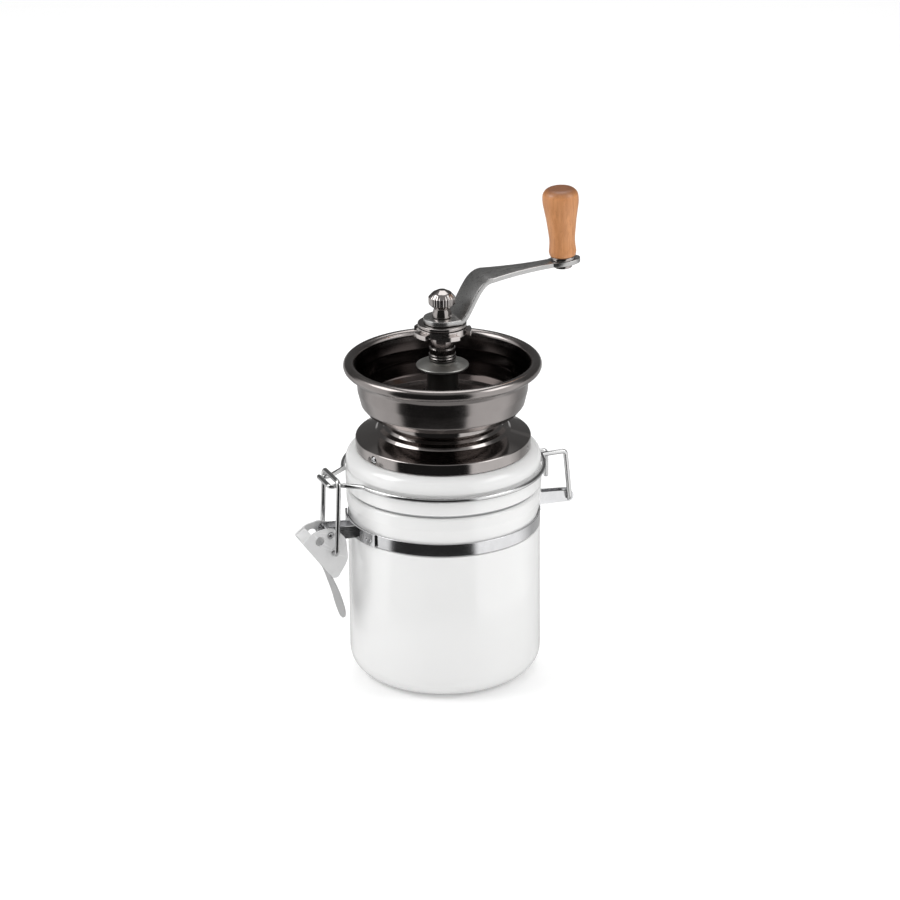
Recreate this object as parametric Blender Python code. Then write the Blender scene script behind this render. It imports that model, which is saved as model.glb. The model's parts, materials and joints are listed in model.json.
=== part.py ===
"""Hand crank coffee grinder: a conical burr mill on the clip-top lid of a ceramic jar.

Outlines and sizes are written in millimetres and scaled to metres when a mesh is made.
The origin is the centre of the jar's base, +Z is up, +X points at the lid's hinge and
the latch is on the -X side. Every turned piece is centred on the Z axis.
"""
import math

import bmesh
import bpy
from mathutils import Matrix, Vector

MM = 0.001
GAP = 0.3                     # clearance kept between neighbouring pieces

# Jar and its steel neck band
JAR_RADIUS = 47.8
JAR_WALL = 4.2
JAR_HEIGHT = 97.6
JAR_FLOOR = 5.0
JAR_FOOT_FILLET = 12.0
MOUTH_RADIUS = 42.6
BAND_BOTTOM = 77.8
BAND_TOP = 84.2
BAND_THICKNESS = 0.6
GROOVE_RADIUS = 47.0

# Lid
LID_RADIUS = 48.6
LID_BOTTOM = 99.2
LID_TOP = 118.0
LID_HOLE_RADIUS = 24.5
PLUG_RADIUS = 40.8
PLUG_BOTTOM = 95.0

# Wires of the clip
WIRE_RADIUS = 1.2
WIRE_RING_RADIUS = 49.8
WIRE_LEVEL = 108.0

# Mill on the lid
FLANGE_RADIUS = 43.4
FLANGE_BOTTOM = LID_TOP + GAP
BOWL_BOTTOM = 137.3
BEAD_CENTRE_RADIUS = 46.0
BEAD_RADIUS = 2.8
BEAD_LEVEL = 160.6
HOUSING_RADIUS = 23.5
BURR_BOTTOM = 100.9

# Spindle, crank and grip
SPINDLE_RADIUS = 3.0
SPINDLE_BORE = 3.4
CRANK_HUB_LEVEL = 182.6
CRANK_THICKNESS = 2.4
CRANK_HUB_RADIUS = 9.2
CRANK_RISE_START = 6.5
CRANK_RISE_END = 25.0
CRANK_ARM_LEVEL = 201.97
CRANK_REACH = 64.4
CRANK_TILT = math.radians(2.5)
PAD_HALF_LENGTH = 9.0
PAD_HALF_WIDTH = 5.6
GRIP_BASE = 2.1
GRIP_TOP = 36.5
GRIP_BORE = 2.8

# Joint centres in the XZ plane
HINGE_CENTRE = (65.0, 82.0)
LEVER_CENTRE = (-62.5, 82.0)
LOOP_CENTRE = (-61.0, 72.5)

LARGE_ROUND = 30              # segments of the jar, lid and bowl
MEDIUM_ROUND = 16
SMALL_ROUND = 12
WIRE_SIDES = 8


# ---------------------------------------------------------------- helpers

def finish(name, colour, roughness, metallic=0.0):
    """A Principled material of one colour."""
    material = bpy.data.materials.new(name)
    material.use_nodes = True
    shader = material.node_tree.nodes["Principled BSDF"]
    shader.inputs["Base Color"].default_value = (*colour, 1.0)
    shader.inputs["Roughness"].default_value = roughness
    shader.inputs["Metallic"].default_value = metallic
    return material


def arc(centre, radius, start, end, steps):
    """Points of an arc, angles in degrees, both ends included."""
    angles = [math.radians(start + (end - start) * i / steps) for i in range(steps + 1)]
    return [(centre[0] + radius * math.cos(a), centre[1] + radius * math.sin(a)) for a in angles]


def rounded(corners, steps=2, closed=True):
    """Turn corners (u, v) or (u, v, radius) into points, with an arc at each given radius."""
    points = []
    count = len(corners)
    for i, corner in enumerate(corners):
        here = Vector(corner[:2])
        at_end = not closed and i in (0, count - 1)
        if len(corner) == 2 or at_end:
            points.append(tuple(here))
            continue
        before = (Vector(corners[i - 1][:2]) - here).normalized()
        after = (Vector(corners[(i + 1) % count][:2]) - here).normalized()
        half_angle = before.angle(after) / 2
        reach = corner[2] / math.tan(half_angle)
        centre = here + (before + after).normalized() * corner[2] / math.sin(half_angle)
        first = here + before * reach - centre
        last = here + after * reach - centre
        turn = first.angle_signed(last)
        for k in range(steps + 1):
            points.append(tuple(centre + Matrix.Rotation(-turn * k / steps, 2) @ first))
    return points


def rounded_path(corners, radius, steps=4):
    """A 3D path through the corners, with an arc of the given radius at each inner one."""
    points = [Vector(corners[0])]
    for before, here, after in zip(corners, corners[1:], corners[2:]):
        here = Vector(here)
        to_before = (Vector(before) - here).normalized()
        to_after = (Vector(after) - here).normalized()
        half_angle = to_before.angle(to_after) / 2
        centre = here + (to_before + to_after).normalized() * radius / math.sin(half_angle)
        first = here + to_before * radius / math.tan(half_angle) - centre
        axis = first.cross(here + to_after * radius / math.tan(half_angle) - centre)
        turn = math.pi - 2 * half_angle
        for k in range(steps + 1):
            points.append(centre + Matrix.Rotation(turn * k / steps, 3, axis) @ first)
    points.append(Vector(corners[-1]))
    return points


def mesh_object(name, bm, material, joint=None):
    """Make an object of a bmesh drawn in millimetres, facing out, riding on a joint's empty."""
    bmesh.ops.remove_doubles(bm, verts=bm.verts, dist=0.0005)
    bmesh.ops.recalc_face_normals(bm, faces=bm.faces)
    bmesh.ops.scale(bm, vec=(MM, MM, MM), verts=bm.verts)
    mesh = bpy.data.meshes.new(name)
    bm.to_mesh(mesh)
    bm.free()
    mesh.shade_smooth()
    mesh.set_sharp_from_angle(angle=math.radians(35))
    mesh.materials.append(material)
    obj = bpy.data.objects.new(name, mesh)
    bpy.context.scene.collection.objects.link(obj)
    if joint is not None:
        obj.parent = joint
        obj.matrix_parent_inverse = joint.matrix_world.inverted()
    return obj


def turned(name, outline, material, joint=None, segments=LARGE_ROUND):
    """Spin a closed (radius, height) outline about Z."""
    bm = bmesh.new()
    verts = [bm.verts.new((r, 0, z)) for r, z in outline]
    edges = [bm.edges.new((a, b)) for a, b in zip(verts, verts[1:] + verts[:1])]
    bmesh.ops.spin(bm, geom=edges, cent=(0, 0, 0), axis=(0, 0, 1), angle=2 * math.pi, steps=segments,
                   use_merge=False, use_duplicate=False)
    return mesh_object(name, bm, material, joint)


def ring_outline(inner, outer, bottom, top):
    """Square-edged ring section."""
    return [(inner, bottom), (outer, bottom), (outer, top), (inner, top)]


def add_prism(bm, outline, low, high, plane="XY"):
    """Extrude an outline between two levels of the axis square to its plane."""
    place = {"XY": lambda u, v, w: (u, v, w),
             "XZ": lambda u, v, w: (u, w, v),
             "YZ": lambda u, v, w: (w, u, v)}[plane]
    bottom = bm.faces.new([bm.verts.new(place(u, v, low)) for u, v in outline])
    grown = bmesh.ops.extrude_face_region(bm, geom=[bottom])
    top = [item for item in grown["geom"] if isinstance(item, bmesh.types.BMVert)]
    offset = Vector(place(0, 0, high)) - Vector(place(0, 0, low))
    bmesh.ops.translate(bm, vec=offset, verts=top)


def prism(name, outline, low, high, plane, material, joint=None):
    """One extruded plate or block."""
    bm = bmesh.new()
    add_prism(bm, outline, low, high, plane)
    return mesh_object(name, bm, material, joint)


def add_tube(bm, path, radius, sides=WIRE_SIDES):
    """Sweep a round section along a path, with flat ends."""
    tangents = [(b - a).normalized() for a, b in zip(path, path[1:])]
    tangents = [tangents[0]] + [(a + b).normalized() for a, b in zip(tangents, tangents[1:])] + [tangents[-1]]
    side = tangents[0].orthogonal().normalized()
    rings = []
    for point, tangent in zip(path, tangents):
        side = (side - tangent * side.dot(tangent)).normalized()
        up = tangent.cross(side)
        turns = [2 * math.pi * k / sides for k in range(sides)]
        rings.append([bm.verts.new(point + (side * math.cos(a) + up * math.sin(a)) * radius) for a in turns])
    for low, high in zip(rings, rings[1:]):
        for k in range(sides):
            bm.faces.new((low[k], low[(k + 1) % sides], high[(k + 1) % sides], high[k]))
    bm.faces.new(rings[0][::-1])
    bm.faces.new(rings[-1])


def wire(name, path, radius, material, joint=None, sides=WIRE_SIDES):
    """A bent round wire or a short round pin."""
    bm = bmesh.new()
    add_tube(bm, path, radius, sides)
    return mesh_object(name, bm, material, joint)


def combine(target, tool, operation):
    """Add or cut a tool shape, which stays hidden."""
    tool.hide_render = True
    tool.display_type = "WIRE"
    modifier = target.modifiers.new(tool.name, "BOOLEAN")
    modifier.operation = operation
    modifier.solver = "EXACT"
    modifier.object = tool


def rod_along_y(name, centre, radius, low, high, material, joint=None, sides=SMALL_ROUND):
    """A round bar along Y through a point of the XZ plane."""
    outline = arc(centre, radius, 0, 360 - 360 / sides, sides - 1)
    return prism(name, outline, low, high, "XZ", material, joint)


def joint_empty(name, x, y, z):
    """An empty on a joint's axis."""
    empty = bpy.data.objects.new(name, None)
    empty.location = (x * MM, y * MM, z * MM)
    bpy.context.scene.collection.objects.link(empty)
    bpy.context.view_layer.update()
    return empty


# ---------------------------------------------------------------- jar

def make_jar(glaze, steel):
    inner = JAR_RADIUS - JAR_WALL
    outline = rounded([
        (0.0, 0.0), (JAR_RADIUS, 0.0, JAR_FOOT_FILLET), (JAR_RADIUS, BAND_BOTTOM - 0.6),
        (GROOVE_RADIUS, BAND_BOTTOM - 0.2), (GROOVE_RADIUS, BAND_TOP + 0.2, 0.6),
        (JAR_RADIUS + 0.6, JAR_HEIGHT - 6.0, 4.0), (JAR_RADIUS + 0.6, JAR_HEIGHT, 1.5),
        (MOUTH_RADIUS, JAR_HEIGHT, 1.0), (MOUTH_RADIUS, BAND_TOP + 4.0, 3.0),
        (inner, BAND_TOP, 3.0), (inner, JAR_FLOOR, 10.0), (0.0, JAR_FLOOR)])
    turned("jar_body", outline, glaze)
    band_inner = GROOVE_RADIUS + GAP
    turned("neck_band", ring_outline(band_inner, band_inner + BAND_THICKNESS, BAND_BOTTOM, BAND_TOP), steel)


def make_latch_bracket(steel):
    """A strap welded on the band, with two arms that carry the lever's pin."""
    inner = GROOVE_RADIUS + GAP + BAND_THICKNESS + GAP
    outer = inner + 0.9
    arm_face, arm_back = 4.4, 3.5
    strap_outline = arc((0, 0), outer, 156, 204, 10) + arc((0, 0), inner, 204, 156, 10)
    bracket = prism("latch_bracket", strap_outline, BAND_BOTTOM, BAND_TOP, "XY", steel)
    x, z = LEVER_CENTRE
    arm = [(-inner - 0.4, BAND_BOTTOM + 0.2), (-inner - 0.4, BAND_TOP - 0.1)]
    arm += arc((x, z), 3.4, 80, 260, 8)
    for side, (low, high) in {"near": (-arm_face, -arm_back), "far": (arm_back, arm_face)}.items():
        combine(bracket, prism("bracket_arm_" + side, arm, low, high, "XZ", steel), "UNION")
    combine(bracket, rod_along_y("bracket_bore", LEVER_CENTRE, 1.8, -8, 8, steel), "DIFFERENCE")
    rod_along_y("latch_pin", LEVER_CENTRE, 1.5, -7.4, 7.4, steel)


def make_hinge_bracket(steel):
    """A plate on the band with two ears that hold the bent end of the lid's wire."""
    plate_back = GROOVE_RADIUS + 2 * GAP + BAND_THICKNESS
    plate_front = plate_back + 0.9
    plate = [(-8.0, BAND_BOTTOM), (1.0, BAND_BOTTOM), (1.0, 87.2), (-8.0, 87.2)]
    bracket = prism("hinge_bracket", plate, plate_back, plate_front, "YZ", steel)
    x, z = HINGE_CENTRE
    ear = [(plate_front - 0.4, 87.0), (plate_front - 0.4, 80.4)] + arc((x, z + 0.6), 3.0, 250, 450, 8)
    for side, (low, high) in {"near": (-6.1, -5.2), "far": (-2.0, -1.1)}.items():
        combine(bracket, prism("hinge_ear_" + side, ear, low, high, "XZ", steel), "UNION")
    combine(bracket, rod_along_y("hinge_bore", HINGE_CENTRE, 1.55, -8, 2, steel), "DIFFERENCE")


# ---------------------------------------------------------------- latch

def make_lever(steel, joint):
    """Two cheeks, a bridge between them and a spoon-shaped tongue, pressed from one sheet."""
    cheek = rounded([
        (-77.2, 80.2, 0.8), (-71.5, 84.6, 5.0), (-62.5, 86.4, 8.0), (-54.6, 79.8, 7.0),
        (-53.6, 68.0, 8.0), (-59.0, 59.2, 2.0), (-61.8, 59.2, 1.0)])
    lever = prism("latch_lever", cheek, -6.4, -5.4, "XZ", steel, joint)
    combine(lever, prism("lever_far_cheek", cheek, 5.4, 6.4, "XZ", steel, joint), "UNION")
    bridge = [(-61.9, 59.8), (-76.5, 80.2), (-72.0, 83.3), (-71.4, 82.2), (-75.0, 79.9), (-60.9, 60.3)]
    combine(lever, prism("lever_bridge", bridge, -5.9, 5.9, "XZ", steel, joint), "UNION")
    combine(lever, lever_tongue(steel, joint), "UNION")
    combine(lever, rod_along_y("lever_pivot_bore", LEVER_CENTRE, 1.8, -8, 8, steel, joint), "DIFFERENCE")
    combine(lever, rod_along_y("lever_loop_bore", LOOP_CENTRE, 1.5, -8, 8, steel, joint), "DIFFERENCE")
    combine(lever, rod_along_y("lever_hole", (-68.2, 79.7), 2.4, -8, 8, steel, joint), "DIFFERENCE")


def lever_tongue(steel, joint):
    """The thumb tongue: a curved strip that widens and ends in a half round."""
    bm = bmesh.new()
    length, reach, bend, thickness, stations = 28.0, 8.6, 1.35, 1.1, 12
    rows = []
    for i in range(stations + 1):
        t = i / stations
        centre = Vector((-63.1 + reach * math.sin(t * bend), 0, 63.0 - length * t))
        half = 4.9 + 2.6 * min(1.0, 2.5 * t)
        tip = max(0.0, t - 0.72) / 0.28
        half *= math.sqrt(max(0.04, 1 - tip * tip))
        normal = Vector((-length, 0, -reach * bend * math.cos(t * bend))).normalized()
        rows.append([bm.verts.new(centre + normal * out + Vector((0, y, 0)))
                     for out, y in ((0, -half), (0, half), (thickness, half), (thickness, -half))])
    for low, high in zip(rows, rows[1:]):
        for k in range(4):
            bm.faces.new((low[k], low[(k + 1) % 4], high[(k + 1) % 4], high[k]))
    bm.faces.new(rows[0])
    bm.faces.new(rows[-1])
    return mesh_object("lever_tongue", bm, steel, joint)


def make_loop(steel, joint):
    """The wire stirrup whose ends hook into the lever's cheeks."""
    x, z = LOOP_CENTRE
    half = 10.4
    top = (-59.3, 110.8)
    corners = [(x, -4.7, z), (x, -half, z), (top[0], -half, top[1]), (top[0], half, top[1]),
               (x, half, z), (x, 4.7, z)]
    wire("latch_loop", rounded_path(corners, 2.6), WIRE_RADIUS, steel, joint)


# ---------------------------------------------------------------- lid

def make_lid(glaze, silicone, joint):
    outline = rounded([
        (LID_RADIUS, LID_BOTTOM, 0.8), (LID_RADIUS, WIRE_LEVEL - 2.0, 0.8),
        (LID_RADIUS - 0.9, WIRE_LEVEL, 1.2),
        (LID_RADIUS - 0.2, WIRE_LEVEL + 2.2, 1.0), (LID_RADIUS - 0.2, LID_TOP, 6.0),
        (LID_HOLE_RADIUS, LID_TOP), (LID_HOLE_RADIUS, LID_TOP - 6.0), (PLUG_RADIUS - 4.3, LID_TOP - 6.0, 2.0),
        (PLUG_RADIUS - 4.3, PLUG_BOTTOM, 1.0), (PLUG_RADIUS, PLUG_BOTTOM, 1.0), (PLUG_RADIUS, LID_BOTTOM)])
    turned("ceramic_lid", outline, glaze, joint)
    gasket = ring_outline(PLUG_RADIUS + GAP, 46.6, JAR_HEIGHT + GAP, LID_BOTTOM - GAP)
    turned("lid_gasket", gasket, silicone, joint)


def ring_arc(start, end):
    """Points of the lid wire's ring between two angles in degrees."""
    steps = max(2, round(abs(end - start) / 9))
    return [Vector((x, y, WIRE_LEVEL)) for x, y in arc((0, 0), WIRE_RING_RADIUS, start, end, steps)]


def make_lid_wire(steel, joint):
    """Two wires round the lid: one is bent into the hinge pin, both reach out to the latch's nose."""
    nose_x, arm_y, arm_bend = -62.8, 6.8, -57.5
    hinge_x, hinge_z = HINGE_CENTRE
    leg_y = -8.0
    nose = rounded_path([(nose_x, arm_y + 1.8, WIRE_LEVEL), (nose_x, -arm_y, WIRE_LEVEL),
                         (arm_bend, -arm_y, WIRE_LEVEL), ring_arc(-164.0, -12.0)[0]], 1.9)
    leg = rounded_path([(49.4, leg_y, WIRE_LEVEL), (hinge_x - 2.6, leg_y, WIRE_LEVEL),
                        (hinge_x, leg_y, hinge_z),
                        (hinge_x, 1.6, hinge_z)], 1.9)
    near = nose[:-1] + ring_arc(-164.0, -12.0) + leg
    far_nose = [Vector((nose_x + WIRE_RADIUS + GAP, arm_y, WIRE_LEVEL)), Vector((arm_bend, arm_y,
                                                                                 WIRE_LEVEL))]
    tail_x, tail_y = 54.0, -3.2
    tail = rounded_path([(50.2, tail_y, WIRE_LEVEL), (tail_x, tail_y, WIRE_LEVEL),
                         (tail_x, tail_y, 94.0)], 1.9)
    far = far_nose + ring_arc(164.0, 2.0) + tail
    wire("hinge_wire", near, WIRE_RADIUS, steel, joint)
    wire("nose_wire", far, WIRE_RADIUS, steel, joint)


# ---------------------------------------------------------------- mill body

def make_mill_base(nickel, steel, joint):
    """The pressed cover on the lid, with its two side screws."""
    wall = 1.0
    inner = FLANGE_RADIUS - wall
    outline = rounded([
        (FLANGE_RADIUS, FLANGE_BOTTOM), (FLANGE_RADIUS, 123.9, 1.0), (33.4, 127.2), (32.2, 128.6, 0.6),
        (29.6, 129.2), (28.6, 130.6, 0.8), (26.8, 131.4, 1.5), (26.2, BOWL_BOTTOM - GAP),
        (25.2, BOWL_BOTTOM - GAP), (25.8, 130.4), (27.6, 129.4), (31.4, 127.2), (inner, 122.8),
        (inner, FLANGE_BOTTOM)])
    base = turned("mill_base", outline, nickel, joint)
    for side, angle in (("latch", -163.5), ("hinge", 16.5)):
        heading = math.radians(angle)
        out = Vector((math.cos(heading), math.sin(heading), 0))
        centre = Vector((0, 0, 120.7))
        start = centre + out * (inner - 3.0)
        end = centre + out * (FLANGE_RADIUS + 0.5)
        wire("base_screw_" + side, [start, end], 1.8, steel, joint, 12)
        bore = wire("base_bore_" + side, [start, end + out * 2], 2.1, nickel, joint, 12)
        combine(base, bore, "DIFFERENCE")


def make_bowl(nickel, joint):
    """The bean hopper: a waisted bowl with a rolled bead at its rim."""
    bead = arc((BEAD_CENTRE_RADIUS, BEAD_LEVEL), BEAD_RADIUS, -125, 185, 9)
    underside = rounded([(25.4, BOWL_BOTTOM), (37.6, 137.6, 2.0), (40.3, 141.0, 3.0), (42.0, 148.0, 8.0),
                         (42.3, 154.0, 4.0), (44.0, 158.0)], closed=False)
    inside = rounded([(43.0, 159.6), (41.2, 154.0, 4.0), (41.0, 148.0, 8.0), (39.2, 141.6, 3.0),
                      (36.8, 138.7, 1.6), (25.4, 138.4)], closed=False)
    turned("hopper_bowl", underside[:-1] + bead + inside[1:], nickel, joint)


def make_column(nickel, bronze, steel, joint):
    """The bridge across the hopper's throat with the spindle's upper bearing on top of it."""
    column_top = 159.2
    hub = rounded([(5.2, 139.0), (9.5, 139.0, 0.5), (9.5, 145.5, 1.5), (7.6, 148.0, 2.0), (7.6, column_top),
                   (5.2, column_top)])
    column = turned("bearing_column", hub, nickel, joint, MEDIUM_ROUND)
    for i in range(3):
        heading = Matrix.Rotation(math.radians(60 + 120 * i), 3, "Z")
        arm = rounded([(6.5, -3.4), (35.0, -3.4, 3.2), (35.0, 3.4, 3.2), (6.5, 3.4)])
        bm = bmesh.new()
        add_prism(bm, arm, 139.0, 142.4)
        bmesh.ops.rotate(bm, cent=(0, 0, 0), matrix=heading, verts=bm.verts)
        combine(column, mesh_object("column_arm_%d" % i, bm, nickel, joint), "UNION")
        seat = heading @ Vector((31.0, 0, 142.4 + GAP))
        wire("bridge_screw_%d" % i, [seat, seat + Vector((0, 0, 1.4))], 2.4, steel, joint, 12)
    bore = ring_outline(0.0, 5.2, 138.0, 162.0)
    combine(column, turned("column_bore", bore, nickel, joint, MEDIUM_ROUND), "DIFFERENCE")
    turned("upper_bush", ring_outline(3.2, 4.9, 139.0, column_top), bronze, joint, MEDIUM_ROUND)
    cap = rounded([(3.6, 159.5), (13.0, 159.5, 0.5), (13.0, 160.6, 0.6), (7.6, 162.9, 1.0), (3.6, 163.2)])
    turned("column_cap", cap, nickel, joint, MEDIUM_ROUND)
    sleeve = rounded([(3.6, 163.5), (6.7, 163.5, 0.3), (6.7, 166.0, 0.3), (6.3, 166.4), (6.3, 169.4),
                      (5.9, 169.8), (5.9, 176.0, 0.6), (3.6, 176.0)], steps=1)
    turned("shaft_sleeve", sleeve, nickel, joint, MEDIUM_ROUND)


def make_housing(aluminium, ceramic, bronze, joint):
    """The burr housing that hangs through the lid, its nut, the fixed burr and the lower bearing."""
    housing = [(HOUSING_RADIUS, 99.0), (HOUSING_RADIUS, FLANGE_BOTTOM), (31.0, FLANGE_BOTTOM), (31.0, 120.6),
               (20.4, 120.6), (20.4, 100.6), (18.6, 100.6), (18.6, 99.0)]
    turned("burr_housing", housing, aluminium, joint, MEDIUM_ROUND * 2)
    nut_top = LID_TOP - 6.0 - GAP
    outline = arc((0, 0), 32.0, 0, 348, 29)
    nut = prism("clamp_nut", outline, nut_top - 4.4, nut_top, "XY", aluminium, joint)
    bore = ring_outline(0.0, HOUSING_RADIUS + GAP, nut_top - 6, nut_top + 2)
    combine(nut, turned("clamp_nut_bore", bore, aluminium, joint, MEDIUM_ROUND * 2), "DIFFERENCE")
    turned("burr_retainer", ring_outline(15.6, 20.1, 115.2, 118.4), aluminium, joint, MEDIUM_ROUND)
    toothed_ring("outer_burr", 20.1, (16.6, 13.2), (BURR_BOTTOM, 114.9), -0.8, ceramic, joint)
    rim = turned("lower_bridge", ring_outline(18.6, HOUSING_RADIUS, 95.8, 98.7), aluminium, joint,
                 MEDIUM_ROUND)
    hub = turned("lower_hub", ring_outline(0.0, 6.6, 91.8, 98.5), aluminium, joint, MEDIUM_ROUND)
    combine(rim, hub, "UNION")
    for i in range(3):
        bm = bmesh.new()
        add_prism(bm, [(3.0, -2.2), (20.0, -2.2), (20.0, 2.2), (3.0, 2.2)], 95.9, 98.4)
        bmesh.ops.rotate(bm, cent=(0, 0, 0), matrix=Matrix.Rotation(math.radians(120 * i), 3, "Z"),
                         verts=bm.verts)
        combine(rim, mesh_object("lower_arm_%d" % i, bm, aluminium, joint), "UNION")
    bore = turned("lower_bore", ring_outline(0.0, 4.7, 90.0, 100.0), aluminium, joint, MEDIUM_ROUND)
    combine(rim, bore, "DIFFERENCE")
    turned("lower_bush", ring_outline(3.2, 4.4, 91.8, 98.5), bronze, joint, MEDIUM_ROUND)


def toothed_ring(name, plain_radius, cone, levels, tooth, material, joint):
    """A burr: one plain round wall and one conical wall with slanting teeth.

    cone is the toothed wall's radius at the bottom and top, and tooth is how far
    the teeth stand off it: outward when positive, inward when negative.
    """
    teeth, per_tooth, rows, twist = 16, 3, 5, math.radians(24)
    count = teeth * per_tooth
    profile = (0.0, 1.0, 0.15)
    bm = bmesh.new()
    toothed, plain = [], []
    for row in range(rows):
        t = row / (rows - 1)
        z = levels[0] + (levels[1] - levels[0]) * t
        radius = cone[0] + (cone[1] - cone[0]) * t
        ring, wall = [], []
        for k in range(count):
            angle = 2 * math.pi * k / count + twist * t
            r = radius + tooth * profile[k % per_tooth]
            ring.append(bm.verts.new((r * math.cos(angle), r * math.sin(angle), z)))
            wall.append((plain_radius * math.cos(angle), plain_radius * math.sin(angle), z))
        toothed.append(ring)
        if row in (0, rows - 1):
            plain.append([bm.verts.new(corner) for corner in wall])
    loops = [plain[0]] + toothed + [plain[1]]
    for low, high in zip(loops, loops[1:] + loops[:1]):
        closing = low is plain[1]
        for k in range(count):
            after = (k + 1) % count
            if closing:
                bm.faces.new((low[k], low[after], high[after], high[k]))
            else:
                bm.faces.new((low[k], high[k], high[after], low[after]))
    return mesh_object(name, bm, material, joint)


# ---------------------------------------------------------------- turning parts

def make_spindle(steel, joint):
    turned("spindle", [(0.0, 86.6), (SPINDLE_RADIUS, 86.6), (SPINDLE_RADIUS, 192.4), (0.0, 192.4)],
           steel, joint, SMALL_ROUND)
    hexagon = arc((0, 0), 5.6, 0, 300, 5)
    nut = prism("spindle_nut", hexagon, 88.0, 91.4, "XY", steel, joint)
    bore = turned("spindle_nut_bore", ring_outline(0.0, SPINDLE_BORE, 80.0, 100.0), steel, joint, SMALL_ROUND)
    combine(nut, bore, "DIFFERENCE")
    turns, coil_radius, low, high = 7, 5.0, 120.0, 137.4
    per_turn = 10
    steps = per_turn * turns
    coil = []
    for k in range(steps + 1):
        angle = 2 * math.pi * k / per_turn
        height = low + (high - low) * k / steps
        coil.append(Vector((coil_radius * math.cos(angle), coil_radius * math.sin(angle), height)))
    wire("burr_spring", coil, 0.5, steel, joint, sides=4)


def make_adjuster(nickel, joint):
    """The grind setting wheel: a thick disc with five lugs standing out of its foot."""
    disc = rounded([(SPINDLE_BORE, 176.9), (12.0, 176.9), (12.0, 180.3, 0.5), (SPINDLE_BORE, 180.3)])
    wheel = turned("grind_adjuster", disc, nickel, joint, MEDIUM_ROUND * 2)
    lugs, half_angle = 5, 19
    for i in range(lugs):
        middle = 360 / lugs * i - 22
        low, high = middle - half_angle, middle + half_angle
        block = arc((0, 0), 14.4, low, high, 4) + arc((0, 0), 11.5, high, low, 4)
        combine(wheel, prism("adjuster_lug_%d" % i, block, 176.6, 178.8, "XY", nickel, joint), "UNION")


def crank_half_width(x):
    """Half the arm's width: round hub, wide rise, long taper, oval pad."""
    if x < 0:
        return math.sqrt(max(CRANK_HUB_RADIUS ** 2 - x * x, 1.0))
    taper = min(1.0, max(0.0, (x - 24.0) / 30))
    arm = 3.9 + (CRANK_HUB_RADIUS - 4.0) * (1 - taper) ** 1.8
    from_pad = (x - CRANK_REACH) / PAD_HALF_LENGTH
    pad = PAD_HALF_WIDTH * math.sqrt(max(1 - from_pad * from_pad, 0.0))
    return max(arm if from_pad < 0 else 1.0, pad)


def crank_height(x):
    """Height of the arm's underside: flat hub, a rise that rounds off slowly, and a gently rising run."""
    blend = min(1.0, max(0.0, (x - CRANK_RISE_START) / (CRANK_RISE_END - CRANK_RISE_START)))
    ease = 1 - (1 - blend ** 1.9) ** 3.4
    run = (x - CRANK_RISE_END) * math.tan(CRANK_TILT)
    return CRANK_HUB_LEVEL + (CRANK_ARM_LEVEL - CRANK_HUB_LEVEL + run) * ease


def crank_stations():
    """Places along X where the arm gets a cross section."""
    hub = [-CRANK_HUB_RADIUS * math.cos(math.radians(a)) for a in (6, 22, 38, 56, 74, 90)]
    rise = [CRANK_RISE_START + (CRANK_RISE_END - CRANK_RISE_START) * k / 11 for k in range(12)]
    run = [CRANK_RISE_END + 5 + 5 * k for k in range(6)]
    pad = [CRANK_REACH - PAD_HALF_LENGTH * math.cos(math.radians(a)) for a in range(24, 175, 15)]
    return hub + [4.0] + rise + run + pad


def make_crank_arm(nickel, joint):
    bm = bmesh.new()
    rows = []
    for x in crank_stations():
        z = crank_height(x)
        slope = math.atan((crank_height(x + 0.2) - crank_height(x - 0.2)) / 0.4)
        up = Vector((-math.sin(slope), 0, math.cos(slope))) * CRANK_THICKNESS
        half = crank_half_width(x)
        base = Vector((x, 0, z))
        across = Vector((0, half, 0))
        section = (base - across, base + across, base + across + up, base - across + up)
        rows.append([bm.verts.new(corner) for corner in section])
    for low, high in zip(rows, rows[1:]):
        for k in range(4):
            bm.faces.new((low[k], low[(k + 1) % 4], high[(k + 1) % 4], high[k]))
    bm.faces.new(rows[0])
    bm.faces.new(rows[-1])
    arm = mesh_object("crank_arm", bm, nickel, joint)
    bore = ring_outline(0.0, SPINDLE_BORE, 180.0, 190.0)
    combine(arm, turned("crank_bore", bore, nickel, joint, SMALL_ROUND), "DIFFERENCE")
    pad_bore = turned("pad_bore", ring_outline(0.0, GRIP_BORE, -8.0, 8.0), nickel, None, SMALL_ROUND)
    stand_on_pad(pad_bore, joint)
    combine(arm, pad_bore, "DIFFERENCE")


def pad_top():
    """Centre of the pad's upper face."""
    return Vector((CRANK_REACH, 0, crank_height(CRANK_REACH) + CRANK_THICKNESS))


def stand_on_pad(obj, joint):
    """Place a piece turned about Z so that it stands square on the crank's pad."""
    obj.location = pad_top() * MM
    obj.rotation_euler = (0, -CRANK_TILT, 0)
    bpy.context.view_layer.update()
    obj.parent = joint
    obj.matrix_parent_inverse = joint.matrix_world.inverted()


def make_crank_hub(nickel, joint):
    washer = ring_outline(SPINDLE_BORE, 12.0, 180.6, CRANK_HUB_LEVEL - GAP)
    turned("lock_washer", washer, nickel, joint, MEDIUM_ROUND)
    seat = CRANK_HUB_LEVEL + CRANK_THICKNESS + GAP
    cap = rounded([(0.0, 192.8), (SPINDLE_BORE, 192.8), (SPINDLE_BORE, seat), (4.9, seat, 0.4),
                   (4.6, 187.6, 1.0), (3.9, 189.6, 1.0), (6.5, 191.8, 0.4), (6.65, 195.2, 0.5),
                   (4.6, 197.6, 3.0),
                   (1.8, 199.0, 2.0), (0.0, 199.2)], steps=1)
    turned("cap_nut", cap, nickel, joint, MEDIUM_ROUND)


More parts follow.
